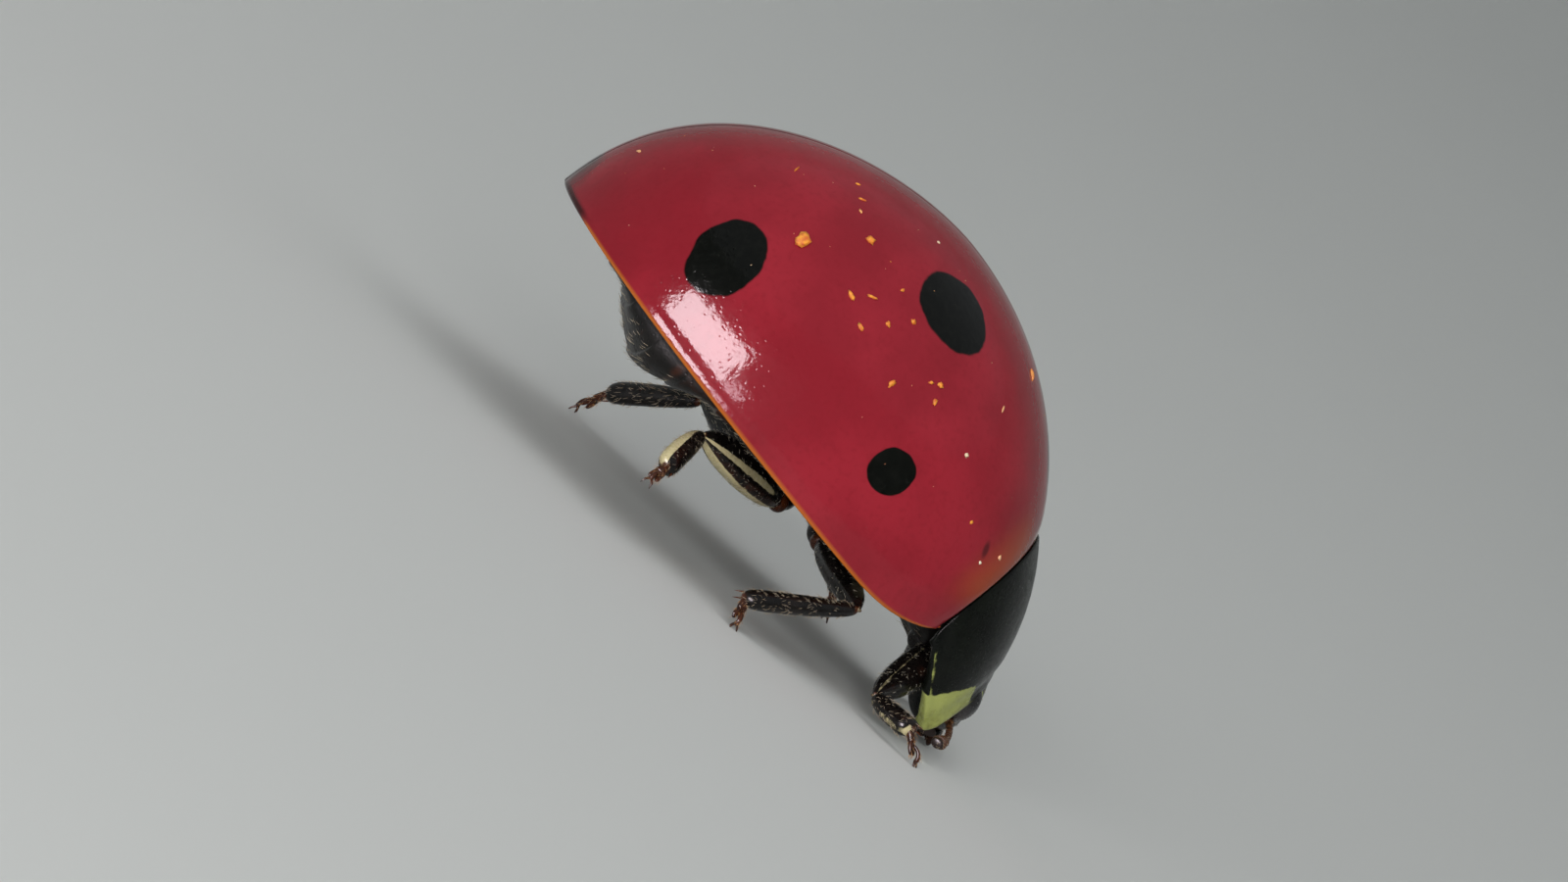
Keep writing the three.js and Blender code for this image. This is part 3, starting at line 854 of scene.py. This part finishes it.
def palp(side):
    """Three small segments and a hatchet-shaped last one."""
    route = [(7.15, 0.3, -0.48), (7.17, 0.45, -0.55), (7.19, 0.58, -0.59), (7.2, 0.72, -0.58)]

    def radius(at):
        stem = 0.045 * (0.7 + 0.3 * np.abs(np.sin(3 * np.pi * at / 0.62)))
        blade = 0.13 * rising(at, 0.6, 0.95)
        return np.where(at < 0.62, stem, 0.035 + blade)

    shape = bent_limb(to_side(route, side), radius, steps=60, sides=16, power=40, flat=0.45)
    return shape.marked(BROWN, rising(shape.unwrap[:, 1], 0.55, 0.7))


def mouthparts():
    """Upper lip, the tips of the jaws, and the lower lip with its two short palps."""
    middle, half = middle_and_half("mouthparts")
    place = lambda x, y, z: middle + np.array([x, y, z]) * half
    down, ahead = np.array([0, 0, -1.0]), np.array([1.0, 0, 0])
    upper_lip = ball(place(0.35, 0, 0.25), (0.075, 0.24, 0.1), 20, 36)
    upper_lip.marked(BROWN, rising(middle[2] - upper_lip.points[:, 2], -0.03, 0.05))
    lower_lip = ball(place(-0.5, 0, -0.35), (0.1, 0.17, 0.09), 16, 28).marked(BROWN, 0.6)
    parts = [upper_lip, lower_lip]
    for side in SIDES.values():
        jaw = horn(place(0.15, side * 0.72, 0.0), down + 0.3 * ahead, (0, -side, 0), 0.21, 0.06, 12, 12)
        short_palp = horn(place(-0.35, side * 0.3, -0.2), down * 0.6 + ahead, down, 0.11, 0.025, 8, 10)
        parts += [jaw.marked(BROWN, 0.9), short_palp.marked(BROWN, 1.0)]
    return joined(*parts)


piece("head_capsule", head_capsule(), PLATE_BLACK, ["head"])
piece("jaws_and_lips", mouthparts(), PLATE_BLACK, ["mouthparts"])
for side_name, side in SIDES.items():
    piece(f"compound_eye_{side_name}", eye(f"eye_{side_name}"), EYE, [f"eye_{side_name}"])
    piece(f"feeler_{side_name}", feeler(side), FEELER, [f"antenna_{side_name}"])
    piece(f"mouth_palp_{side_name}", palp(side), FEELER, [f"palp_{side_name}"])


# ---- Trunk, body frame ----

CLEARANCE = 0.51  # from the wing cases' outside to the trunk
NECK_REAR, THORAX_FRONT, THORAX_REAR, ABDOMEN_REAR = 5.99, 5.94, 3.98, 0.5
PLATES, PLATE_STEP = 6, 0.035
BELLY_LEVEL, BELLY_SAG, BELLY_LOWEST, BELLY_SPREAD = -0.06, 0.52, 1.8, 0.75


def belly_level(x):
    return BELLY_LEVEL - BELLY_SAG * hump(x, BELLY_LOWEST, BELLY_SPREAD) * rising(x, 0.3, 1.2)


def trunk(x, bottom, relief, count=72):
    """Rings of the trunk at each x: below the wing cases, down to a bottom level, with a relief that
    is a function of x, y and the share of the way to the underside's middle."""
    x, bottom = x[:, None], bottom[:, None]
    s = ((x - TIP) / (FRONT - TIP)) ** (1 / SPREAD)
    across = shares(count)[None]
    s = np.broadcast_to(s, (len(x), count + 1))
    t = np.broadcast_to(1 - np.abs(2 * across - 1), s.shape)
    top = inwards(dome_point, s, t, CLEARANCE)
    top[..., 1] = np.where(across < 0.5, 1, -1) * np.minimum(0, top[..., 1])
    rim = top[:, :1]
    turn = np.pi * across
    depth = np.sin(turn) ** 0.7
    level = lerp(rim[..., 2] - 0.02, bottom, depth)
    y = -rim[..., 1] * np.cos(turn) * 0.995
    level = level + relief(x, y, depth) * np.minimum(1, 4 * depth)
    return loft(np.concatenate([top, xyz(rim[..., 0], y, level)], 1))


def abdomen():
    inside = np.array([0, 0.012, 0.03, 0.08, 0.2, 0.35, 0.5, 0.65, 0.8, 0.92, 0.975, 0.998])
    length = (THORAX_REAR - 0.03 - ABDOMEN_REAR) / PLATES
    x = np.concatenate([ABDOMEN_REAR + length * (k + inside) for k in range(PLATES)])
    part = np.tile(inside, PLATES)[:, None]
    overlap = -PLATE_STEP * (1 - part) ** 1.5 * rising(part, -0.012, 0.03)
    relief = lambda x, y, depth: overlap + 0.02 * hump(y, 0, 0.25) * rising(depth, 0.8, 1)
    shape = trunk(x, belly_level(x), relief)
    body_x, body_y, _ = shape.points.T
    plate_share = ((body_x - ABDOMEN_REAR) / length) % 1
    shape.marked(BROWN, 0.55 * hump(plate_share, 0.03, 0.05) + 0.5 * rising(np.abs(body_y), 2.0, 2.4))
    return shape.moved(body_to_row)


def thorax():
    x = lerp(THORAX_REAR, THORAX_FRONT, shares(90))

    def relief(x, y, depth):
        """Seams along and across the plates, and a swelling to either side of the middle."""
        side = np.abs(y)
        seams = hump(y, 0, 0.025) * falling(x, 4.9, 5.0)
        seams = seams + hump(x, 5.08 + 0.1 * side, 0.02)
        seams = seams + hump(side, 1.5 + 0.12 * (x - 4), 0.022) * falling(x, 5.3, 5.35)
        seams = seams + hump(x, 5.62 - 0.08 * side, 0.02) * rising(side, 0.9, 1.0)
        swell = hump(x, 4.5, 0.45) * hump(side, 0.75, 0.45)
        return 0.035 * seams - 0.04 * swell

    shape = trunk(x, np.full(len(x), -0.05), relief, 96)
    body_x, body_y, body_z = shape.points.T
    side = np.abs(body_y)
    pale = rising(body_x, 5.2, 5.27) * falling(body_x, 5.5, 5.58) * rising(side, 1.6, 1.72)
    shape.marked(PALE, pale * (body_z < 0.75))
    return shape.moved(body_to_row)


def prothorax():
    share = shares(40)
    x, half_width = lerp(NECK_REAR, 6.7, share), lerp(1.2, 0.72, share)
    top, bottom = lerp(1.1, 0.06, share**1.3), lerp(0.0, -0.2, share)
    middle, half = (top + bottom) / 2, (top - bottom) / 2
    y = half_width[:, None] * np.cos(turns(64))
    z = middle[:, None] + half[:, None] * np.sin(turns(64))
    z = z - 0.05 * hump(y, 0, 0.12) * falling(z, 0.0, 0.2)
    return loft(xyz(x[:, None], y, z)).moved(body_to_row)


piece("abdomen_plates", abdomen(), UNDERSIDE, ["abdomen"])
piece("thorax_plates", thorax(), UNDERSIDE, ["thorax"])
piece("prothorax_skin", prothorax(), UNDERSIDE, ["prothorax"])


# ---- Legs ----

# Hips in the body frame, left side.
HIPS = {
    "front": ((6.38, 0.26, -0.02), (6.58, 0.6, 0.02)),
    "middle": ((4.78, 0.34, -0.02), (4.84, 0.92, -0.19)),
    "hind": ((4.16, 0.3, -0.08), (4.2, 0.9, -0.28)),
}
# Knees, ankles and toes: x forward from below the tip of the wing cases, z up from the floor.
TOE_HEIGHT = 0.03
LEGS = {
    "front_right": ((6.16, -1.96, 0.26), (6.66, -2.48, 0.28), (6.93, -2.58, TOE_HEIGHT)),
    "front_left": ((6.64, 1.6, 0.32), (7.0, 2.12, 0.3), (7.22, 2.26, TOE_HEIGHT)),
    "middle_right": ((5.34, -2.52, 0.93), (4.22, -3.2, 0.3), (4.34, -3.42, TOE_HEIGHT)),
    "middle_left": ((5.12, 2.32, 0.98), (5.54, 2.98, 0.38), (5.68, 3.14, TOE_HEIGHT)),
    "hind_right": ((2.8, -2.42, 1.32), (2.63, -3.44, 0.89), (2.56, -3.75, 0.71)),
    "hind_left": ((2.96, 2.42, 1.12), (2.12, 3.1, 0.44), (1.96, 3.34, TOE_HEIGHT)),
}
# For each pair: how stout the femur is, how far it bows outwards, how far back its upper band faces, and
# how strongly the painted highlights show, a cream sheen painted where light catches hairs and edges: the
# upper and lower band of the femur, the tibia's outer edge (and how far that spreads), the tibia's end, and
# the knee.
TRAITS = "girth", "bow", "back", "upper", "lower", "edge", "spread", "end", "knee"
PAIRS = {
    "front": dict(zip(TRAITS, (0.88, -0.05, 0.4, 0.5, 0, 0.4, 0.45, 0.9, 0.45))),
    "middle": dict(zip(TRAITS, (0.8, 0.03, 0, 0, 0, 0, 1, 0, 0.5))),
    "hind": dict(zip(TRAITS, (1, 0.03, 0, 1, 1, 1, 1, 0.3, 0.62))),
}
FEMUR_WIDE = np.array([0.13, 0.21, 0.25, 0.25, 0.2, 0.11])
FEMUR_THICK = np.array([0.11, 0.15, 0.17, 0.16, 0.13, 0.09])


def facing(shape, start, end, direction, half_angle):
    """1 on the side of a limb that faces a direction, 0 past half_angle degrees from it."""
    axis = unit(end - start)
    radial = shape.points - start
    radial = unit(radial - axis * (radial @ axis)[:, None])
    angle = np.degrees(np.arccos(np.clip(radial @ square_to(direction, axis), -1, 1)))
    return falling(angle, half_angle, half_angle + 7)


def between(at, start, end, soft):
    return rising(at, start - soft, start + soft) * falling(at, end - soft, end + soft)


def femur(hip, knee, ankle, side, pair):
    outer = -square_to(ankle - knee, knee - hip)
    start = hip - 0.03 * unit(knee - hip)
    groove = lambda along, turn: (
        -0.05 * hump(np.cos(turn), -1, 0.25) * rising(along, 0.45, 0.8)
        + 0.012 * hump(np.abs(np.sin(turn)), 0.75, 0.2)
    )
    shape = straight_limb(
        start, knee, outer, FEMUR_WIDE * pair["girth"], FEMUR_THICK * pair["girth"],
        steps=44, sides=36, bow=pair["bow"], groove=groove,
    )
    at = shape.unwrap[:, 1]
    on_side = lambda back, up, reach: facing(shape, start, knee, np.array([-back, side, up]), reach)
    # painted highlights: cream bands where light catches the femur, and a glint at the knee
    upper_highlight = pair["upper"] * on_side(pair["back"], 0.3, 8) * between(at, 0.3, 0.97, 0.08)
    lower_highlight = pair["lower"] * on_side(0, -1, 19) * between(at, 0.1, 0.86, 0.08)
    knee_end = rising(at, 0.88, 0.97)
    shape.marked(PALE, np.maximum.reduce([upper_highlight, lower_highlight, pair["knee"] * knee_end]))
    return shape.marked(BROWN, np.clip(knee_end + 0.36 * pair["upper"] * on_side(0, -0.25, 20), 0, 1))


def tibia(hip, knee, ankle, pair):
    """The tibia without and with its two spurs."""
    outer = -square_to(hip - knee, ankle - knee)
    wide, thick = [0.085, 0.115, 0.14, 0.15, 0.15, 0.145], [0.075, 0.09, 0.105, 0.11, 0.115, 0.11]
    shape = straight_limb(knee, ankle, outer, wide, thick, 36, 28, 0.02, 10)
    at = shape.unwrap[:, 1]
    # painted highlights: a cream outer edge, a cream end, and a glint at the knee
    edge = pair["edge"] * facing(shape, knee, ankle, outer, lerp(14, 40, at) * pair["spread"])
    edge = edge * between(at, 0.12, 0.93, 0.05)
    end = pair["end"] * rising(at, 0.84, 0.93) * facing(shape, knee, ankle, outer, 70)
    start = pair["knee"] * falling(at, 0.04, 0.12)
    shape.marked(PALE, np.maximum.reduce([edge, end, start]))
    shape.marked(BROWN, np.clip(falling(at, 0.06, 0.2) + 0.7 * rising(at, 0.85, 0.98), 0, 1))
    ahead = unit(ankle - knee)
    flank = np.cross(ahead, outer)
    spurs = []
    for k in (-1, 1):
        root = ankle - 0.05 * ahead - 0.09 * outer + k * 0.04 * flank
        spurs.append(horn(root, ahead - 0.2 * outer, ahead, 0.09, 0.011, 10, 8).marked(BROWN, 1.0))
    return shape, joined(shape, *spurs)


def tarsus(knee, ankle, toe, standing):
    """Four segments: a broad first one, a broad second one in two lobes, a tiny third, and the slender
    last one, which carries two claws. The underside of a standing foot lies flat on the floor."""
    start = ankle - 0.04 * unit(ankle - knee)
    along = toe - start
    ahead = unit(along)
    flank = unit(np.cross([0, 0, 1], ahead))
    over = np.cross(ahead, flank)
    place = lambda a, b, c: start + along * a + flank * b + over * c
    wide, thick = (0.042, 0.052, 0.068), (0.042, 0.045, 0.04)
    parts = [straight_limb(start, place(0.42, 0, 0), flank, wide, thick, 20, 20)]
    for k in (-1, 1):
        root, end = place(0.3, 0.016 * k, -0.005), place(0.72, 0.05 * k, -0.03)
        parts.append(straight_limb(root, end, flank, (0.028, 0.036, 0.028), (0.026, 0.028, 0.02), 16, 16))
    route = [place(0.46, 0, 0.015), place(0.64, 0, 0.045), place(0.8, 0, 0.04), place(0.92, 0, 0.0)]
    parts.append(bent_limb(route, lambda at: 0.018 + 0.012 * at, 24, 14, 12, up=over))
    down = np.array([0, 0, -1.0]) if standing else unit(ahead * 0.3 - over)
    claws, teeth = [], []
    for k in (-1, 1):
        claws.append(horn(place(0.88, 0.012 * k, 0), ahead + 0.7 * k * flank, down, 0.12, 0.016, 14, 10))
        sideways = ahead * 0.4 + 0.5 * k * flank
        teeth.append(horn(place(0.92, 0.03 * k, -0.008), sideways, down, 0.05, 0.011, 8, 8))
    foot, hooks = joined(*parts).marked(BROWN, 0.5), joined(*claws, *teeth).marked(BROWN, 0.3)
    if standing:
        for shape in (foot, hooks):
            shape.points[:, 2] = np.maximum(shape.points[:, 2], 0)
    return foot, hooks, parts


leg_skins = []  # what sow is told of each skin with hairs


def build_leg(leg):
    pair_name, side_name = leg.split("_")
    side, pair = SIDES[side_name], PAIRS[pair_name]
    root, hip = to_side(HIPS[pair_name], side)
    knee, ankle, toe = np.array(LEGS[leg]) + [TAIL_X, MID_Y, 0]
    thigh = femur(hip, knee, ankle, side, pair)
    shin, shin_with_spurs = tibia(hip, knee, ankle, pair)
    foot, claws, foot_parts = tarsus(knee, ankle, toe, leg != "hind_right")
    outer = square_to(knee - hip, hip - root)
    wide, thick = (0.16, 0.19, 0.19, 0.14), (0.16, 0.18, 0.18, 0.13)
    joint = straight_limb(root, hip, outer, wide, thick, 24, 28, power=3)
    socket = ball(hip, (0.12, 0.13, 0.12), 16, 20).marked(BROWN, 0.6)
    piece(f"hip_{leg}", joined(joint, socket), LEG, [f"coxa_{leg}"])
    piece(f"thigh_{leg}", thigh, LEG, [f"femur_{leg}"])
    piece(f"shin_{leg}", shin_with_spurs, LEG, [f"tibia_{leg}"])
    piece(f"foot_{leg}", foot, LEG, [f"tarsus_{leg}"])
    piece(f"claws_{leg}", claws, CLAW)
    leg_skins.append((joint, hip - root, 60, 0.07, 0.0))
    leg_skins.append((thigh, knee - hip, 130, 0.085, 0.0))
    leg_skins.append((shin, ankle - knee, 260, 0.085, 0.25))
    for part in foot_parts:
        leg_skins.append((part, toe - ankle - [0, 0, 0.1], 420, 0.07, 0.9))


for leg in LEGS:
    build_leg(leg)


# ---- Hairs and pollen ----

rng = np.random.default_rng(7)
HAIR_WIDTH = 0.0055
HAIR_FACES = ((0, 1, 4, 3), (1, 2, 5, 4), (2, 0, 3, 5), (3, 4, 6), (4, 5, 6), (5, 3, 6), (2, 1, 0))
PATCH = 0.003  # how much of the unwrap one hair takes


def sow(shape, lie, density, length, warmth, where=None):
    """Short hairs on a skin, leaning the way it lies: their points, warmth of colour and places on the
    unwrap. Density is hairs per square millimetre, thinned out by where."""
    lift, spread = 0.5, 0.45
    quads = np.array([face for face in shape.faces if len(face) == 4])
    a, b, c, d = (shape.points[quads[:, k]] for k in range(4))
    cross = np.cross(c - a, d - b)
    area = np.linalg.norm(cross, axis=1) / 2
    centre = (a + b + c + d) / 4
    outwards = np.sign(np.sum((centre - centre.mean(0)) * cross))
    normal = unit(cross) * outwards
    chance = area.copy()
    if where is not None:
        chance = chance * where(centre, normal)
    count = max(1, int(density * chance.sum()))
    chosen = rng.choice(len(quads), count, p=chance / chance.sum())
    across, along = rng.random((2, count, 1))
    root = a[chosen] + (b - a)[chosen] * across + (d - a)[chosen] * along
    normal = normal[chosen]
    lie = np.asarray(lie, float)
    way = unit(lie - normal * (normal @ lie)[:, None])
    way = unit(way + np.cross(normal, way) * rng.normal(0, spread, (count, 1)))
    rise = lift * rng.uniform(0.6, 1.4, (count, 1))
    ahead = unit(way + normal * rise)
    reach = length * rng.uniform(0.65, 1.25, (count, 1))
    side = unit(np.cross(ahead, normal))
    over = np.cross(side, ahead)
    root = root - normal * 0.004
    points = np.empty((count, 7, 3))
    for k in range(3):
        turn = 2 * math.pi * k / 3 + math.pi / 2
        ring = (side * math.cos(turn) + over * math.sin(turn)) * HAIR_WIDTH / 2
        points[:, k] = root + ring
        points[:, k + 3] = root + ahead * reach * 0.55 + ring * 0.7
    points[:, 6] = root + (ahead - normal * rise * 0.35) * reach
    unwrap = shape.unwrap[quads[chosen][:, 0]]
    return points, warmth, unwrap


def coat(name, batches):
    """One joined mesh of hairs. Each batch has its own square of the OFBake map."""
    cells_across = math.ceil(math.sqrt(len(batches)))
    corners = np.array([[0, 0], [1, 0], [0.5, 0.8], [0, 0.5], [1, 0.5], [0.5, 1], [0.5, 0.5]]) - 0.5
    shapes, maps = [], []
    for k, (hairs, warmth, unwrap) in enumerate(batches):
        cell = np.array([k % cells_across, k // cells_across])
        home = (cell + 0.02 + 0.96 * unwrap) / cells_across
        maps.append((home[:, None] + corners * PATCH).reshape(-1, 2))
        faces = [tuple(7 * n + corner for corner in face) for n in range(len(hairs)) for face in HAIR_FACES]
        shapes.append(Shape(hairs.reshape(-1, 3), faces).marked(BROWN, warmth))
    shape, maps = joined(*shapes), np.concatenate(maps)
    shape.points[:, 2] = np.maximum(shape.points[:, 2], 0)
    thing = piece(name, shape, HAIR)
    layer = thing.data.uv_layers.new(name="OFBake")
    corner_of = np.empty(len(thing.data.loops), int)
    thing.data.loops.foreach_get("vertex_index", corner_of)
    layer.data.foreach_set("uv", maps[corner_of].ravel())


BACKWARDS = body_to_row([0, 0, 0]) - body_to_row([1, 0, 0])
DOWN = np.array([0, 0, -1.0])


def coats():
    coat("leg_hairs", [sow(*skin) for skin in leg_skins])
    beneath = lambda centre, normal: rising(-normal[:, 2], 0.1, 0.5)
    low = lambda centre, normal: beneath(centre, normal) * (row_to_body(centre)[:, 2] < 0.2)
    plates = "abdomen_plates", "thorax_plates", "prothorax_skin"
    coat("belly_hairs", [sow(made[name], BACKWARDS, 42, 0.11, 0.1, low) for name in plates])
    face = lambda centre, normal: rising(normal[:, 0], 0.2, 0.6)
    head = [
        sow(made["head_capsule"], DOWN, 70, 0.06, 0.1, face),
        sow(made["jaws_and_lips"], DOWN - 0.5 * BACKWARDS, 160, 0.07, 0.5, face),
    ]
    for name in SIDES:
        stalk = made[f"feeler_{name}"]
        head.append(sow(stalk, stalk.points[-1] - stalk.points[-2], 260, 0.045, 0.3))
        head.append(sow(made[f"mouth_palp_{name}"], DOWN, 200, 0.04, 0.4))
    coat("head_hairs", head)


# Pollen and dust on the right wing case, as shares along and up the dome, size, length and paleness.
GRAINS = (
    (0.52, 0.45, 0.18, 1.2, 0), (0.59, 0.59, 0.1, 1.3, 0), (0.43, 0.69, 0.045, 5, 0),
    (0.63, 0.42, 0.07, 2, 0), (0.65, 0.46, 0.06, 3.6, 0), (0.67, 0.38, 0.07, 1.5, 0),
    (0.69, 0.44, 0.06, 1, 0), (0.71, 0.5, 0.06, 1, 0), (0.75, 0.35, 0.08, 1.6, 0),
    (0.78, 0.44, 0.05, 1.6, 0), (0.79, 0.46, 0.07, 1, 0), (0.8, 0.42, 0.06, 1.5, 0),
    (0.87, 0.43, 0.05, 1, 0.8), (0.86, 0.86, 0.07, 3, 0.1), (0.98, 0.42, 0.05, 1, 0.4),
    (0.97, 0.33, 0.04, 1, 1), (0.52, 0.77, 0.04, 1.6, 0), (0.66, 0.78, 0.035, 1, 0.7),
    (0.55, 0.66, 0.04, 2, 0.2), (0.15, 0.6, 0.05, 1.8, 0.3), (0.67, 0.54, 0.04, 1.4, 0),
    (0.86, 0.62, 0.04, 3, 0.3), (0.93, 0.36, 0.04, 1, 0), (0.54, 0.71, 0.045, 2.4, 0),
)
STRAY_GRAINS = 46  # small ones over both wing cases


def pollen():
    base, faces = icosphere(2)
    grains = [(*grain, -1) for grain in GRAINS]
    for _ in range(STRAY_GRAINS):
        s, t, size, stretch = rng.uniform((0.15, 0.12, 0.005, 1.0), (0.97, 0.95, 0.013, 2.2))
        grains.append((s, t, size, stretch, rng.uniform(0, 0.6), rng.choice([-1, 1])))
    lumps = []
    for s, t, size, stretch, paleness, side in grains:
        s, t = np.array([s]), np.array([t])
        centre = wing_surface(s, t)[0]
        normal = unit(centre - inwards(wing_surface, s, t, 0.1)[0])
        turn = rng.uniform(0, math.pi)
        level = unit(np.cross(normal, [0, 0, 1.0]))
        long_axis = level * math.cos(turn) + np.cross(normal, level) * math.sin(turn)
        axes = np.stack([long_axis, np.cross(normal, long_axis), normal])
        half = size / 2 * np.array([stretch**0.7, stretch**-0.5, 0.5])
        rough = base * (1 + 0.22 * rng.normal(size=(len(base), 1))) * half
        lump = Shape(rough @ axes + centre + normal * half[2] * 0.4, faces).marked(PALE, paleness)
        lump.points[:, 1] *= -side
        lumps.append(lump.moved(body_to_row))
    piece("pollen_grains", joined(*lumps), POLLEN)


coats()
pollen()


# ---- Floor, light and camera ----


def bowl():
    """A pale floor that curves up into a wall all round, with no line between them, in metres."""
    flat, bend, wall, sides = 0.34, 0.2, 0.5, 96
    turn = np.pi / 2 * shares(16)
    radii = np.concatenate([[0.02, 0.08, 0.2], flat + bend * np.sin(turn), [flat + bend]])
    heights = np.concatenate([[0, 0, 0], bend * (1 - np.cos(turn)), [wall]])
    x, y = radii[:, None] * np.cos(turns(sides)), radii[:, None] * np.sin(turns(sides))
    rings = xyz(x, y, heights[:, None]).reshape(-1, 3)
    faces = grid_faces(len(radii), sides, True)
    faces += [(len(rings), (j + 1) % sides, j) for j in range(sides)]
    mesh = bpy.data.meshes.new("floor")
    mesh.from_pydata([*rings.tolist(), (0, 0, 0)], [], [face[::-1] for face in faces])
    mesh.shade_smooth()
    mesh.materials.append(floor_material())
    placed("floor", mesh)


def direction(azimuth, elevation):
    """Towards the eye, for the views' azimuth and elevation in degrees."""
    a, e = math.radians(azimuth), math.radians(elevation)
    return Vector((math.sin(a) * math.cos(e), -math.cos(a) * math.cos(e), math.sin(e)))


AIM = Vector((0.02, -0.27, 1.65)) * MM  # the middle of the picture


def faced(thing, azimuth, elevation, distance, roll):
    """Sets a lamp or camera at a distance from the middle of the picture, turned to face it. Angles
    are in degrees and the distance in metres."""
    away = direction(azimuth, elevation)
    thing.location = AIM + away * distance
    thing.rotation_mode = "QUATERNION"
    turned = Matrix.Rotation(math.radians(roll), 3, "Z").to_quaternion()
    thing.rotation_quaternion = away.to_track_quat("Z", "Y") @ turned


def softbox(name, place, size, radiance, shows, roll=0.0, colour=(1, 1, 1)):
    """A plain rectangular lamp at an azimuth, elevation and distance, which shows as glow on dull
    surfaces or as a reflection."""
    light = bpy.data.lights.new(name, "AREA")
    light.shape = "RECTANGLE"
    light.size, light.size_y = size
    light.energy = radiance * math.pi * light.size * light.size_y
    light.color = colour
    lamp = placed(name, light)
    faced(lamp, *place, roll)
    lamp.visible_diffuse = shows == "glow"
    lamp.visible_glossy = shows == "reflection"


def world():
    scene = bpy.context.scene
    scene.world = bpy.data.worlds.new("studio")
    scene.world.use_nodes = True
    background = scene.world.node_tree.nodes["Background"]
    background.inputs["Color"].default_value = (0.92, 0.96, 1.0, 1)
    background.inputs["Strength"].default_value = 0.34


CAMERA_PLACE, CAMERA_ROLL = (-5.0, 5.7, 0.174), 40.0  # azimuth, elevation and distance; roll
FIELD_WIDTH = 0.01739  # of the picture, measured at its middle


def camera():
    data = bpy.data.cameras.new("camera")
    data.sensor_width = 36
    data.lens = data.sensor_width * CAMERA_PLACE[2] / FIELD_WIDTH
    data.clip_start, data.clip_end = 0.01, 5
    bpy.context.scene.camera = placed("camera", data)
    faced(bpy.context.scene.camera, *CAMERA_PLACE, CAMERA_ROLL)


bowl()
world()
softbox("key", (-12, 9, 0.25), (0.16, 0.16), 9.3, "glow")
softbox("top", (10, 75, 0.3), (0.3, 0.3), 0.6, "glow")
softbox("window", (-31, 15, 0.16), (0.1, 0.05), 34.0, "reflection", -8, (1.0, 0.9, 0.95))
softbox("small_window", (-10, 5, 0.16), (0.016, 0.022), 20.0, "reflection", -20, (1.0, 0.8, 0.88))
camera()
bpy.context.scene.view_settings.view_transform = "Standard"
